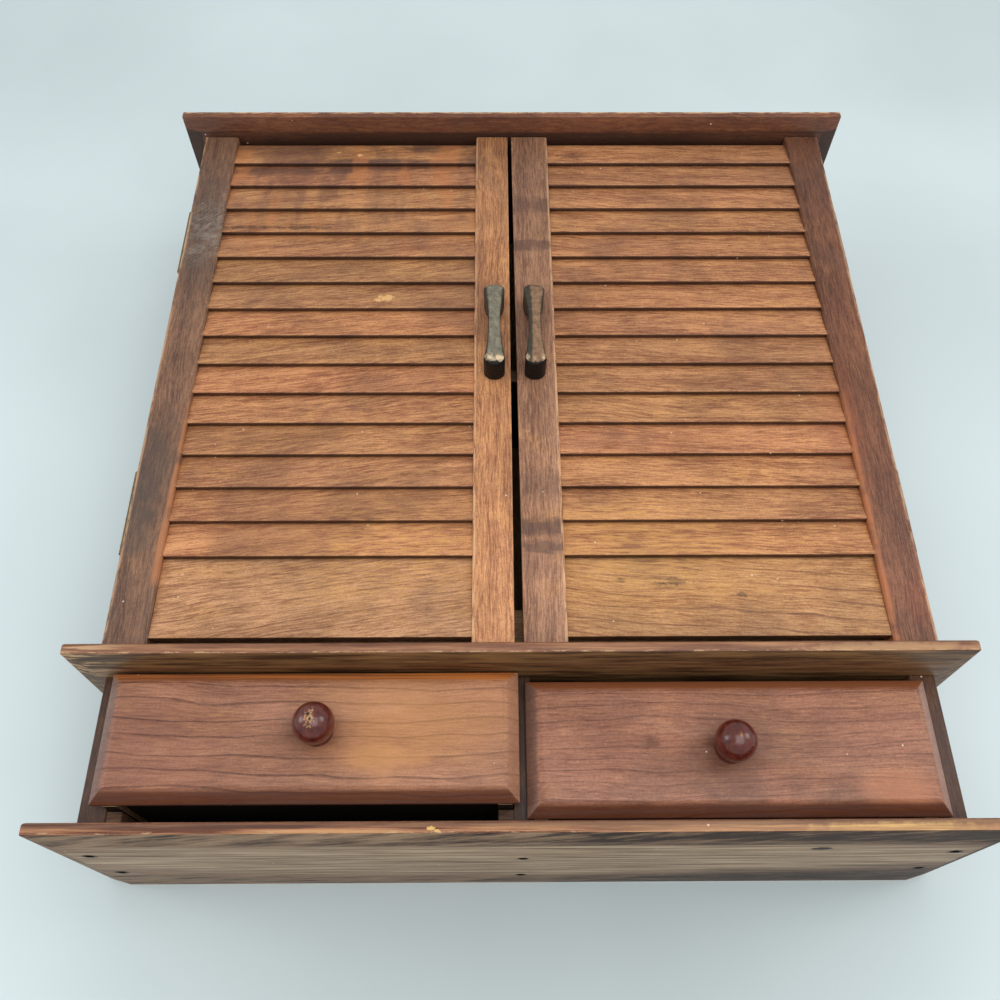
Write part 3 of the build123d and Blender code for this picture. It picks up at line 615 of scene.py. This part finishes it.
def slat_material(name, seed, slope, marks):
    def own_tone(f, colour):
        """The tone of the slat, the marks of the door, then painted shadow and dust below each foot, painted shade
        on faces that look down, and painted light by height.
        """
        step = f.math("DIVIDE", f.math("SUBTRACT", f.z, SLAT_FOOT), SLAT_PITCH)
        value, tint = f.chance(f.math("ADD", f.math("FLOOR", step), seed * 50))
        colour = f.shade(colour, f.fade(value, 0.0, 1.0, 0.95, 1.05, smooth=False))
        colour = marks(f, f.mix(0.03, colour, tint, "OVERLAY"))
        within = f.math("FRACT", step)
        ragged = f.scaled(f.noise(f.mm, 0.3, detail=4.0, rough=0.7), 0.14, -0.07)
        is_slat = f.fade(f.z, SLAT_FOOT - 1.0, SLAT_FOOT)
        # Painted shadow just under the foot of the next slat.
        shadow = f.times(f.fade(f.math("ADD", within, ragged), 0.86, 1.0), is_slat, 0.4)
        colour = f.mix(shadow, colour, (110, 68, 44))
        near, cell = f.cells(f.mm, 0.5)
        caught = f.times(f.fade(within, 0.8, 0.86), is_slat, f.fade(f.noise(f.mm, 0.03), 0.45, 0.6))
        dust = f.math("LESS_THAN", near, f.times(f.fade(f.split(cell)[0], 0.75, 1.0, 0.0, 0.2), caught))
        colour = f.mix(f.times(dust, 0.85), colour, (236, 218, 196))
        # Painted shade, nearly black, on faces that look down.
        colour = f.mix(f.fade(f.nz, -0.6, -0.85, 0.0, 0.85), colour, (40, 21, 13))
        # Painted light: darker near the head of the door, paler towards its foot.
        return f.shade(colour, f.fade(f.z, 345.0, 90.0, 0.9, 1.08, smooth=False))

    return stained_wood(
        name, "X", (134, 82, 54), (204, 146, 98), seed=seed, blotch_colour=(112, 76, 60), wear=0.3,
        worn=(190, 134, 92), line_mm=2.9, wander=3.0, line_depth=0.5, line_colour=(104, 58, 38),
        specks=1.0, slope=slope, marks=own_tone,
    )


def painted_sunlight(f, colour, middle, half_size, scales, spread, amount, new):
    """A painted pool of golden light low on a door, broken into streaks of those noise scales along x and z."""
    streaky = f.noise(f.combine(f.times(f.x, scales[0]), f.times(f.z, scales[1]), 5.0), detail=3.0)
    patch = f.times(f.blot(middle, half_size, edge=(1.4, 0.3, 0.06)), f.fade(streaky, *spread))
    return f.mix(f.times(patch, amount), colour, new)


def left_marks(f, colour):
    """Smoky patches and painted shadow lines above, a painted pool of golden light below and a few pale chips."""
    smoke = (84, 60, 50)
    large = ((-112.0, 338.0, 24.0, 9.0, 0.5),)
    wide = ((-58.0, 326.5, 44.0, 3.6, 0.65), (-40.0, 340.0, 16.0, 5.0, 0.65), (-118.0, 323.0, 30.0, 3.4, 0.65))
    # The two lines are painted shadow under the foot of a slat.
    lines = ((-128.0, 283.4, 12.0, 1.2, 0.7), (-100.0, 283.2, 12.0, 1.2, 0.7))
    colour = f.spots(colour, SLAT_Y, large, smoke, edge=(1.2, 0.5, 0.06))
    colour = f.spots(colour, SLAT_Y, wide, smoke, edge=(0.8, 0.6, 0.08))
    colour = f.spots(colour, SLAT_Y, lines, (64, 40, 30), edge=(0.8, 0.6, 0.3))
    cloudy = f.noise(f.combine(f.times(f.x, 0.05), 2.0, f.times(f.z, 0.02)), detail=3.0, rough=0.6)
    high_up = f.fade(f.z, 255.0, 300.0)
    colour = f.mix(f.times(f.fade(cloudy, 0.5, 0.6), high_up, 0.42), colour, (104, 68, 58))
    colour = f.mix(f.times(f.fade(cloudy, 0.48, 0.4), high_up, 0.4), colour, (200, 126, 74))
    colour = painted_sunlight(
        f, colour, (-52.0, SLAT_Y, 108.0), (44.0, 30.0, 22.0), scales=(0.12, 0.9), spread=(0.42, 0.6),
        amount=0.36, new=(222, 166, 94),
    )
    chips = (
        (-58.6, 239.9, 3.6, 1.7, 0.9), (-62.0, 238.4, 2.0, 0.9, 0.9),
        (-86.9, 335.6, 1.1, 0.8, 0.9), (-76.2, 333.4, 1.4, 0.9, 0.9),
    )
    return f.spots(colour, SLAT_Y, chips, (226, 178, 118), edge=(0.3, 0.9, 0.6))


def right_marks(f, colour):
    """Dark bruises on the foot board, one high up, a red patch at the hinge side and a painted pool of golden light
    below.
    """
    bruises = (
        (38.7, 98.6, 1.7, 1.2, 0.6), (53.9, 96.5, 2.2, 1.2, 0.6),
        (60.0, 98.0, 4.0, 1.6, 0.6), (85.0, 92.1, 1.6, 1.0, 0.6),
    )
    high, red = ((30.0, 332.5, 6.0, 2.4, 0.5),), ((137.0, 176.0, 9.0, 26.0, 0.2),)
    colour = f.spots(colour, SLAT_Y, bruises, (72, 50, 40), edge=(1.0, 0.6, 0.6))
    colour = f.spots(colour, SLAT_Y, high, (84, 56, 44), edge=(1.0, 0.4, 0.6))
    colour = f.spots(colour, SLAT_Y, red, (150, 70, 44), edge=(1.4, 0.3, 0.1))
    return painted_sunlight(
        f, colour, (48.0, SLAT_Y, 112.0), (38.0, 30.0, 20.0), scales=(0.1, 0.8), spread=(0.4, 0.58),
        amount=0.38, new=(226, 170, 96),
    )


for hand, seed, slope, marks in (("left", 0.23, -0.12, left_marks), ("right", 0.61, 0.04, right_marks)):
    wood = slat_material(f"slats_{hand}_wood", seed, slope, marks)
    dress(f"door_slats_{hand}", wood, ease_mm=0.75, segments=3)


# %% Foot boards
def painted_shade_under_slat(f, colour):
    """Painted shade on the head of the foot board under the lowest slat, and on its lower edge."""
    ragged = f.scaled(f.noise(f.mm, 0.3, detail=4.0, rough=0.7), 2.0, -1.0)
    colour = f.mix(f.fade(f.math("ADD", f.z, ragged), 106.6, 109.0, 0.0, 0.7), colour, (60, 34, 22))
    return f.mix(f.fade(f.nz, -0.4, -0.75, 0.0, 0.8), colour, (40, 22, 16))


foot_left = stained_wood(
    "foot_left_wood", "X", (144, 96, 62), (210, 158, 114), seed=0.35, slope=-0.15, line_mm=4.4,
    wander=1.0, line_depth=0.85, line_colour=(108, 62, 46), blotch=0.2, wear=0.3, specks=1.0, streak=0.6,
    thin=0.8, dashed=0.6, marks=lambda f, colour: painted_shade_under_slat(f, left_marks(f, colour)),
)
foot_right = stained_wood(
    "foot_right_wood", "X", (146, 96, 58), (208, 156, 104), seed=0.84, slope=0.075, line_mm=6.5,
    wander=1.4, line_depth=0.75, line_colour=(104, 60, 44), blotch=0.3, wear=0.3, specks=1.0, streak=0.6,
    thin=0.84, dashed=0.35, marks=lambda f, colour: painted_shade_under_slat(f, right_marks(f, colour)),
)
dress("foot_board_left", foot_left, ease_mm=0.25)
dress("foot_board_right", foot_right, ease_mm=0.25)

# %% [markdown]
# The stiles run upright, so their grain does too. The left outer stile is scuffed grey and its inner arris is
# rubbed orange; the left meeting stile is the brightest orange-tan; its neighbour is purple-grey and banded;
# the right outer stile is the reddest. Painted light makes all of them paler towards the foot of the door, the first
# one least.

# %% Stiles
STILE_Y = -34.5


def scuffed_left(f, colour):
    """Grey patches, a pale smear with slanting scratches, and an orange inner arris low down."""
    grey = ((-147.0, 277.0, 9.0, 34.0, 0.5), (-150.0, 148.0, 8.0, 22.0, 0.6), (-151.0, 122.0, 6.0, 16.0, 0.5))
    colour = f.spots(colour, STILE_Y, grey, (78, 68, 62), edge=(1.2, 0.6, 0.12))
    near = f.blot((-146.0, STILE_Y, 281.0), (11.0, THROUGH_MM, 20.0), edge=(0.9, 0.4, 0.1))
    smear = f.fade(f.noise(f.mm, 0.2, detail=5.0, rough=0.75), 0.42, 0.66)
    colour = f.mix(f.times(smear, near, 0.42), colour, (160, 150, 138))
    length, width = f.scaled(f.z, 0.75, f.x), f.scaled(f.x, -0.75, f.z)
    scratches = f.noise(f.combine(f.times(length, 0.1), f.times(width, 1.1), 3.0), detail=4.0, rough=0.75)
    colour = f.mix(f.times(f.fade(scratches, 0.54, 0.62), near, 0.4), colour, (186, 176, 160))
    broken = f.fade(f.noise(f.mm, 0.05, detail=3.0), 0.3, 0.45)
    along = f.times(f.fade(f.z, 195.0, 160.0), f.fade(f.z, 94.0, 101.0), broken)
    edge_x = f.fade(f.z, 170.0, 100.0, -139.8, -141.4)
    orange = f.times(f.fade(f.math("SUBTRACT", f.x, edge_x), -0.5, 0.5), along)
    return f.mix(f.times(orange, 0.7), colour, (186, 120, 76))


def banded(f, colour):
    """Dark bands across the front and the edges of the stile: middle, half height and amount of each."""
    wave = f.drawn_out((0.12, 1.0, 0.36))
    height = f.scaled(wave, 8.0, f.math("SUBTRACT", f.z, 4.0))
    bands = ((297.0, 7.0, 0.45), (271.0, 5.0, 0.55), (140.0, 9.0, 0.35), (121.0, 5.0, 0.7), (112.0, 3.0, 0.55))
    for middle, half, amount in bands:
        away = f.math("ABSOLUTE", f.math("SUBTRACT", height, middle))
        band = f.times(f.fade(away, half, half * 0.4), f.fade(f.ny, 0.8, 0.2))
        colour = f.mix(f.times(band, amount), colour, (72, 50, 46))
    return colour


def red_patch(f, colour):
    """Red patches, and an inner arris rubbed orange low down."""
    red = ((151.7, 88.7, 5.0, 9.0, 0.2), (141.5, 170.0, 2.6, 26.0, 0.2))
    colour = f.spots(colour, STILE_Y, red, (146, 70, 46), edge=(1.4, 0.5, 0.15))
    patchy = f.fade(f.noise(f.mm, 0.05, detail=4.0, rough=0.65), 0.32, 0.5, 0.25, 1.0)
    orange = f.times(f.fade(f.x, 142.0, 139.8), f.fade(f.z, 215.0, 150.0), patchy)
    return f.mix(f.times(orange, 0.65), colour, (190, 116, 72))


def rubbed_edge(x, marks=None, amount=0.75):
    """A pale broken line along the upright front arris at x, over the other marks."""

    def both(f, colour):
        colour = marks(f, colour) if marks else colour
        close = f.times(f.fade(f.math("ABSOLUTE", f.math("SUBTRACT", f.x, x)), 1.3, 0.5), f.fade(f.y, -32.6, -33.8))
        broken = f.fade(f.drawn_out((0.5, 1.0, 0.08), detail=4.0, rough=0.7), 0.4, 0.55)
        return f.mix(f.times(close, broken, amount), colour, (228, 186, 144))

    return both


def painted_height_light(low, high, marks):
    """The marks, and painted light that changes evenly from the foot of the door to its head."""

    def both(f, colour):
        return f.shade(marks(f, colour), f.fade(f.z, 70.0, 345.0, low, high, smooth=False))

    return both


left_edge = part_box("meeting_stile_left")[0][0] / MM
right_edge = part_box("meeting_stile_right")[1][0] / MM
left_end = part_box("hinge_stile_left")[0][0] / MM
right_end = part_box("hinge_stile_right")[1][0] / MM
stile_looks = {
    "hinge_stile_left": dict(
        dark=(92, 64, 52), light=(146, 108, 82), seed=0.15, gilding=0.1,
        marks=painted_height_light(1.0, 0.9, rubbed_edge(left_end, scuffed_left, 0.5)),
    ),
    "meeting_stile_left": dict(
        dark=(140, 88, 58), light=(204, 146, 98), seed=0.42, gilding=0.5,
        marks=painted_height_light(1.33, 0.77, rubbed_edge(left_edge)),
    ),
    "meeting_stile_right": dict(
        dark=(112, 76, 58), light=(168, 124, 94), seed=0.66, gilding=0.35,
        marks=painted_height_light(1.3, 0.86, rubbed_edge(right_edge, banded)),
    ),
    "hinge_stile_right": dict(
        dark=(86, 50, 36), light=(136, 88, 62), seed=0.93, gilding=0.1,
        marks=painted_height_light(1.12, 0.78, rubbed_edge(right_end, red_patch, 0.5)),
    ),
}
for node, look in stile_looks.items():
    wood = stained_wood(
        node + "_wood", "Z", wear=0.9, line_mm=3.0, wander=2.5, line_depth=0.5, line_colour=(86, 50, 36),
        worn=(214, 176, 136), **look,
    )
    dress(node, wood, ease_mm=0.35)

# %% [markdown]
# ## The drawers
# Drawer fronts were finished better than the rest: a redder stain under a soft satin coat that shows long
# wavy dark lines. Their fields are rounded over to the bevels by sanding, so those edges get a wide soft
# bevel of their own. The bevels get painted light and shade, and a painted shadow rings each knob. The boxes
# are plain unstained pine, with painted shade underneath and low on their sides.

# %% Drawer fronts
FIELD_ROUND_MM = 1.5
RIM_MM = 6.0
LEFT_FRONT_Y = -36.0
RIGHT_FRONT_Y = -31.0
KNOB_Y = -34.0


def painted_bevel_light(f, colour, field_y, amber, right_bevel):
    """Painted light and shade on the bevels: a darker lower bevel, an amber upper bevel, and greyer end bevels, the
    right one as lit from that side.
    """
    off_field = f.fade(f.y, field_y + 0.4, field_y + 1.6)
    rising = f.fade(f.drawn_out((0.02, 1.0, 0.3)), 0.4, 0.6)
    lower = f.mix(rising, (94, 62, 54), (98, 52, 32))
    colour = f.mix(f.times(off_field, f.fade(f.nz, -0.2, -0.6), 0.8), colour, lower)
    upper = f.mix(rising, (142, 84, 50), amber)
    colour = f.mix(f.times(off_field, f.fade(f.nz, 0.2, 0.6), 0.85), colour, upper)
    colour = f.mix(f.times(off_field, f.fade(f.nx, 0.2, 0.6), 0.5), colour, right_bevel)
    return f.mix(f.times(off_field, f.fade(f.nx, -0.2, -0.6), 0.6), colour, (112, 90, 82))


def painted_knob_shadow(f, colour, x, z):
    """A painted shadow rings a knob."""
    ring = ((x, z, 12.0, 9.0, 0.4),)
    return f.spots(colour, KNOB_Y, ring, (92, 56, 44), edge=(1.2, 0.2, 0.2))


def left_front_marks(f, colour):
    """Two patches of painted sheen right of the knob and a dull one at the left end, then the painted shadow of the
    knob and painted light and shade on the bevels.
    """
    painted_sheen = (208, 148, 90)
    large, low = ((-36.0, 42.0, 30.0, 18.0, 0.45),), ((-48.0, 29.0, 13.0, 4.0, 0.5),)
    dull = ((-140.0, 30.0, 30.0, 20.0, 0.3),)
    # Painted sheen on the field.
    colour = f.spots(colour, LEFT_FRONT_Y, large, painted_sheen, edge=(1.6, 0.3, 0.05))
    colour = f.spots(colour, LEFT_FRONT_Y, low, painted_sheen, edge=(1.4, 0.4, 0.1))
    colour = f.spots(colour, LEFT_FRONT_Y, dull, (116, 72, 62), edge=(1.6, 0.3, 0.05))
    colour = painted_knob_shadow(f, colour, -75.3, 37.0)
    return painted_bevel_light(f, colour, -36.6, amber=(200, 118, 54), right_bevel=(150, 106, 82))


def right_front_marks(f, colour):
    """A rubbed patch low at the right end and a small bruise left of the knob, then the painted shadow of the knob
    and painted light and shade on the bevels.
    """
    patch, bruise = ((131.0, 19.0, 12.0, 5.0, 0.5),), ((45.6, 35.8, 2.6, 2.2, 0.5),)
    colour = f.spots(colour, RIGHT_FRONT_Y, patch, (200, 130, 90), edge=(1.6, 0.3, 0.08))
    colour = f.spots(colour, RIGHT_FRONT_Y, bruise, (80, 48, 40), edge=(1.2, 0.4, 0.5))
    colour = painted_knob_shadow(f, colour, 75.3, 34.0)
    return painted_bevel_light(f, colour, -31.4, amber=(142, 80, 44), right_bevel=(164, 136, 126))


front_left = stained_wood(
    "front_left_wood", "X", (120, 74, 56), (184, 130, 100), seed=0.27, slope=0.012, line_mm=6.2,
    wander=1.6, line_depth=0.9, line_colour=(78, 42, 34), blotch=0.3, wear=0.2, worn=(206, 150, 112),
    roughness=(0.34, 0.46), specks=1.0, gilding=0.3, fibre=0.6, streak=0.5, thin=0.82, dashed=0.3,
    marks=left_front_marks,
)
front_right = stained_wood(
    "front_right_wood", "X", (118, 72, 56), (180, 126, 98), seed=0.71, slope=-0.01, line_mm=4.6,
    wander=1.4, line_depth=0.6, line_colour=(82, 46, 40), wear=0.3, worn=(206, 156, 128),
    roughness=(0.32, 0.44), specks=1.0, gilding=0.2, fibre=0.6, streak=0.6, thin=0.8, dashed=0.45,
    marks=right_front_marks,
)
for hand, wood in (("left", front_left), ("right", front_right)):
    front = merged_copy(f"drawer_front_{hand}")
    low, high = (Vector(v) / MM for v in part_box(f"drawer_front_{hand}"))

    def on_field(a, b):
        """Both ends lie on the rim of the raised field, and not round the hole of the knob screw."""
        flat = max(a.y, b.y) < low.y + 0.1
        outer = all(min(abs(end.x - low.x), abs(end.x - high.x)) < RIM_MM for end in (a, b))
        return flat and outer

    round_edges(front, on_field, FIELD_ROUND_MM, segments=4)
    finish_piece(front, f"drawer_front_{hand}", wood, ease_mm=0.35)


# %% Drawer boxes
def painted_box_shade(f, colour):
    """Painted shade on the boxes underneath and low on their sides."""
    low_side_shade = f.times(f.fade(f.math("ABSOLUTE", f.nx), 0.7, 0.9), f.fade(f.z, 26.0, 16.0))
    return f.mix(f.times(low_side_shade, 0.75), painted_shade_below(f, colour), (58, 42, 30))


bare_wood = stained_wood(
    "bare_wood", "X", (172, 136, 90), (212, 178, 130), seed=0.5, blotch=0.15, wear=0.2, specks=0.2,
    blotch_colour=(150, 116, 80), line_colour=(150, 104, 66), roughness=DULL, marks=painted_box_shade,
)
for part in ("drawer_sides", "drawer_back", "drawer_bottom"):
    for hand in ("left", "right"):
        dress(f"{part}_{hand}", bare_wood, ease_mm=0.25)

# %% [markdown]
# ## Knobs
# The knobs are turned balls under a dark red lacquer, glossy enough to mirror the windows. The left one is
# chipped to raw wood at its tip, and the right one has only a small chip.

# %% Knobs
CHIP_DEEP_MM = 5.0


def knob_lacquer(name, tip, chip):
    """Lacquer with a chip of that half width at the tip, and a pit and a hole within it."""
    f = Finish(name)
    mottled = f.noise(f.mm, 0.5, detail=4.0, rough=0.6)
    colour = f.ramp(mottled, (0.36, (72, 22, 15)), (0.64, (102, 42, 32)))
    x, y, z = tip
    raw = f.blot(tip, (chip, CHIP_DEEP_MM, chip * 1.6), edge=(0.25, 0.9, 1.0))
    ring = f.ramp(f.noise(f.mm, 2.2, detail=3.0, rough=0.7), (0.42, (112, 66, 44)), (0.62, (208, 162, 118)))
    colour = f.mix(raw, colour, ring)
    edge = (0.4, 0.7, 1.2)
    pit = f.blot((x - chip * 0.25, y, z + chip * 0.6), (chip * 0.34, CHIP_DEEP_MM, chip * 0.42), edge)
    hole = f.blot((x + chip * 0.2, y, z - chip * 0.5), (chip * 0.22, CHIP_DEEP_MM, chip * 0.3), edge)
    deep = f.math("MAXIMUM", pit, hole)
    colour = f.mix(deep, colour, (38, 18, 12))
    f.set("Base Color", colour)
    f.set("Roughness", f.fade(raw, 0.0, 1.0, 0.26, 0.75))
    f.set("Coat Weight", 0.3)
    height = f.math("ADD", f.times(raw, -0.5), f.times(deep, -1.0))
    height = f.scaled(f.noise(f.mm, 1.0, detail=3.0, rough=0.6), 0.22, height)
    f.set("Normal", f.bump(height, depth_mm=0.5, strength=0.6))
    return f.material


for hand, chip, (aside, up) in (("left", 1.6, (-0.4, 0.1)), ("right", 0.5, (0.3, 0.2))):
    low, high = (Vector(v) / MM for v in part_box(f"knob_{hand}"))
    middle = (low + high) / 2
    tip = (middle.x + aside, low.y, middle.z + up)
    recolour(f"knob_{hand}", knob_lacquer(f"knob_{hand}_lacquer", tip, chip))

# %% [markdown]
# ## Brass
# The pulls are old brass gone grey-green and brown, black at the foot, with painted shade on their sides, and
# bright only where fingers rub the lower arris. They were cast, so their meshes are made even and smoothed until
# no edge is sharp. Slight ridges run up and down their feet. The hinges are duller and yellower, and keep their
# exact shape.

# %% Metal
FOOT_MM = 194.0
PULL_MIDDLE_MM = 214.5
PULL_HALF_MM = 22.5
WAIST_HALF_MM = 3.0
FLARE_MM = 1.9


def aged_brass(name, dark, light, bright, shine=0.5, marks=None, foot_mm=None):
    """Mottled metal with bright arrises. Below foot_mm it is ridged."""
    f = Finish(name)
    patina = f.noise(f.mm, 0.4, detail=4.0, rough=0.7)
    colour = f.ramp(patina, (0.32, dark), (0.68, light))
    rub = f.times(f.arris(0.7, 0.3), f.fade(f.noise(f.mm, 0.35, detail=3.0), 0.5, 0.62))
    colour = f.mix(f.times(rub, 0.8), colour, bright)
    if marks:
        colour = marks(f, colour)
    f.set("Base Color", colour)
    f.set("Metallic", shine)
    f.set("Roughness", f.fade(rub, 0.0, 1.0, 0.52, 0.3))
    height = f.noise(f.mm, 1.1, detail=3.0, rough=0.6)
    if foot_mm:
        ridges = f.times(f.drawn_out((0.7, 0.7, 0.16), rough=0.65), f.fade(f.z, foot_mm + 1.0, foot_mm - 1.0))
        height = f.scaled(ridges, 9.0, height)
    f.set("Normal", f.bump(height, depth_mm=0.14, strength=0.5))
    return f.material


def worn_pull(middle_x, side_shade_colour, left_limit, right_limit, bright_from):
    """Painted shade on the sides, a bright ragged line and a black foot. The limits are shares of the half width."""

    def marks(f, colour):
        turned_away = f.fade(f.ny, -0.93, -0.6)
        height_share = f.math("DIVIDE", f.math("SUBTRACT", f.z, PULL_MIDDLE_MM), PULL_HALF_MM)
        flare = f.math("POWER", f.math("ABSOLUTE", height_share), 2.0)
        half_width = f.scaled(flare, FLARE_MM, WAIST_HALF_MM)
        sideways = f.math("DIVIDE", f.math("SUBTRACT", f.x, middle_x), half_width)
        sideways = f.math("ADD", sideways, f.scaled(f.noise(f.mm, 0.5, detail=3.0), 0.3, -0.15))
        left_side = f.fade(sideways, left_limit + 0.14, left_limit - 0.14)
        right_side = f.fade(sideways, right_limit - 0.12, right_limit + 0.12)
        # Painted shade on faces that turn away and along both edges of the face.
        sides = f.math("MAXIMUM", turned_away, f.math("MAXIMUM", left_side, right_side))
        colour = f.mix(f.times(sides, 0.85), colour, side_shade_colour)
        jagged = f.drawn_out((0.7, 1.0, 0.2), rough=0.7)
        height = f.math("ADD", f.z, f.scaled(jagged, 3.0, -1.5))
        patchy = f.fade(f.noise(f.mm, 0.45, detail=3.0, rough=0.7), 0.44, 0.56, 0.15, 0.95)
        outer = f.fade(f.math("ABSOLUTE", sideways), bright_from - 0.3, bright_from + 0.1)
        bright = f.times(f.fade(height, 197.6, 195.4), f.fade(f.ny, -0.4, -0.7), patchy, outer)
        colour = f.mix(bright, colour, (216, 190, 154))
        black = f.math("MAXIMUM", f.fade(height, 193.9, 193.4), f.times(f.fade(f.z, 202.0, 200.0), turned_away))
        return f.mix(black, colour, (16, 15, 13))

    return marks


pull_left_brass = aged_brass(
    "pull_left_brass", (98, 94, 80), (156, 150, 130), (190, 176, 146),
    marks=worn_pull(-9.5, (34, 33, 26), left_limit=-0.76, right_limit=0.84, bright_from=0.1), foot_mm=FOOT_MM,
)
pull_right_brass = aged_brass(
    "pull_right_brass", (108, 86, 66), (170, 134, 104), (214, 196, 170),
    marks=worn_pull(8.0, (42, 52, 47), left_limit=-0.34, right_limit=0.9, bright_from=0.75), foot_mm=FOOT_MM,
)
hinge_brass = aged_brass("hinge_brass", (92, 74, 46), (150, 124, 78), (200, 176, 120), shine=0.8)
steel = aged_brass("fastener_steel", (40, 36, 34), (76, 72, 68), (120, 116, 110), shine=0.6)

# %% Cast pulls and fasteners
GRID_MM = 0.3
SMOOTH_STEPS = 40

for hand, brass in (("left", pull_left_brass), ("right", pull_right_brass)):
    pull = merged_copy(f"pull_{hand}")
    grid = pull.modifiers.new("even grid", "REMESH")
    grid.mode = "VOXEL"
    grid.voxel_size = GRID_MM * MM
    bpy.ops.object.modifier_apply(modifier=grid.name)
    cast = pull.modifiers.new("cast round", "SMOOTH")
    cast.factor = 0.5
    cast.iterations = SMOOTH_STEPS
    bpy.ops.object.modifier_apply(modifier=cast.name)
    bpy.ops.object.shade_smooth()
    take_place(pull, f"pull_{hand}", brass)
    print(pull.name, len(pull.data.polygons), "faces")
for node in frame["nodes"]:
    if "leaf" in node or "hinge_pin" in node or "hinge_screws" in node:
        recolour(node, hinge_brass)
    elif "nails" in node or "brads" in node or "screw" in node:
        recolour(node, steel)

# %% [markdown]
# ## Surface and light
# The cabinet was photographed lying on a pale surface. In this frame that surface stands just behind its
# back. It shows only from the front, so other views still see the back of the cabinet. A bounced ray that
# leaves the back and meets the surface within a few millimetres goes through it too, or the back would be
# black. The light is soft: a bright even world, a large lamp in front, and a smaller one at each side.

# %% Surface
CLOSE_M = 0.006
BACK_MM = 44.5
WALL_GAP_MM = 0.6
FLOOR_GAP_MM = 0.4
STAGE_M = 8.0


def stage_finish(name, colour, tone=None):
    """A dull surface that only camera rays from its front and long bounced rays can see."""
    f = Finish(name, roughness=0.8)
    cloud = f.fade(f.noise(f.mm, 0.006, detail=3.0), 0.3, 0.7, 0.97, 1.03)
    f.set("Base Color", f.shade(colour, f.times(cloud, tone(f)) if tone else cloud))
    f.set("Specular IOR Level", 0.2)
    behind = f.nodes.new("ShaderNodeNewGeometry").outputs["Backfacing"]
    ray = f.nodes.new("ShaderNodeLightPath").outputs
    close = f.math("LESS_THAN", ray["Ray Length"], CLOSE_M)
    bounced = f.math("SUBTRACT", 1.0, ray["Is Camera Ray"])
    clear = f.nodes.new("ShaderNodeBsdfTransparent")
    both = f.nodes.new("ShaderNodeMixShader")
    f.wire(f.math("MAXIMUM", behind, f.times(close, bounced)), both.inputs[0])
    f.links.new(f.shader.outputs[0], both.inputs[1])
    f.links.new(clear.outputs[0], both.inputs[2])
    f.links.new(both.outputs[0], f.nodes["Material Output"].inputs["Surface"])
    return f.material


def painted_room_light(f):
    """Painted light and shade on the surface: paler to both sides, a little greyer in the top corners, and a painted
    shadow below the base.
    """
    aside = f.math("ABSOLUTE", f.math("ADD", f.x, 4.0))
    paler = f.times(f.fade(aside, 150.0, 235.0, 0.0, 0.14), f.fade(f.z, 330.0, 180.0))
    corners = f.times(f.fade(aside, 150.0, 300.0, 0.0, 0.07), f.fade(f.z, 400.0, 500.0))
    shadow_below_base = f.times(f.fade(aside, 190.0, 40.0, 0.0, 0.17), f.fade(f.z, 5.0, -22.0))
    return f.math("SUBTRACT", f.math("ADD", paler, 1.0), f.math("ADD", corners, shadow_below_base))


def stage_plane(name, location, rotation, material):
    """A large plane whose place and turn are applied, so that its object coordinates are the cabinet's."""
    bpy.ops.mesh.primitive_plane_add(size=STAGE_M, location=location, rotation=rotation)
    bpy.ops.object.transform_apply(location=True, rotation=True, scale=True)
    plane = bpy.context.object
    plane.name = name
    plane.data.materials.append(material)
    return plane


bpy.ops.object.select_all(action="DESELECT")
upright = (math.radians(90), 0, 0)
wall_finish = stage_finish("pale_surface", (207, 221, 224), painted_room_light)
wall = stage_plane("surface_behind", (0, (BACK_MM + WALL_GAP_MM) * MM, 0), upright, wall_finish)
floor_finish = stage_finish("pale_floor", (210, 221, 224))
floor = stage_plane("floor", (0, 0, -FLOOR_GAP_MM * MM), (0, 0, 0), floor_finish)
floor.visible_shadow = False
floor.visible_diffuse = False
floor.visible_glossy = False

# %% Light
WORLD_STRENGTH = 0.62

world = bpy.data.worlds.new("soft")
world.use_nodes = True
background = world.node_tree.nodes["Background"]
background.inputs["Color"].default_value = (1.0, 1.0, 1.0, 1.0)
background.inputs["Strength"].default_value = WORLD_STRENGTH
bpy.context.scene.world = world


def lamp(name, place, aim_z, size, watts, colour):
    """A square lamp that looks at the middle of the cabinet, at the height aim_z."""
    data = bpy.data.lights.new(name, "AREA")
    data.size = size
    data.energy = watts
    data.color = colour
    light = bpy.data.objects.new(name, data)
    light.location = place
    light.rotation_euler = (Vector((0, 0, aim_z)) - Vector(place)).to_track_quat("-Z", "Y").to_euler()
    bpy.context.collection.objects.link(light)


lamp("ceiling", (0.25, -1.5, -0.2), aim_z=0.1, size=1.2, watts=10, colour=(1.0, 0.99, 0.97))
lamp("window_right", (1.1, -0.9, 0.3), aim_z=0.15, size=0.5, watts=3, colour=(1.0, 0.98, 0.97))
lamp("window_left", (-1.2, -0.7, 0.2), aim_z=0.15, size=0.5, watts=3, colour=(0.95, 0.98, 1.0))
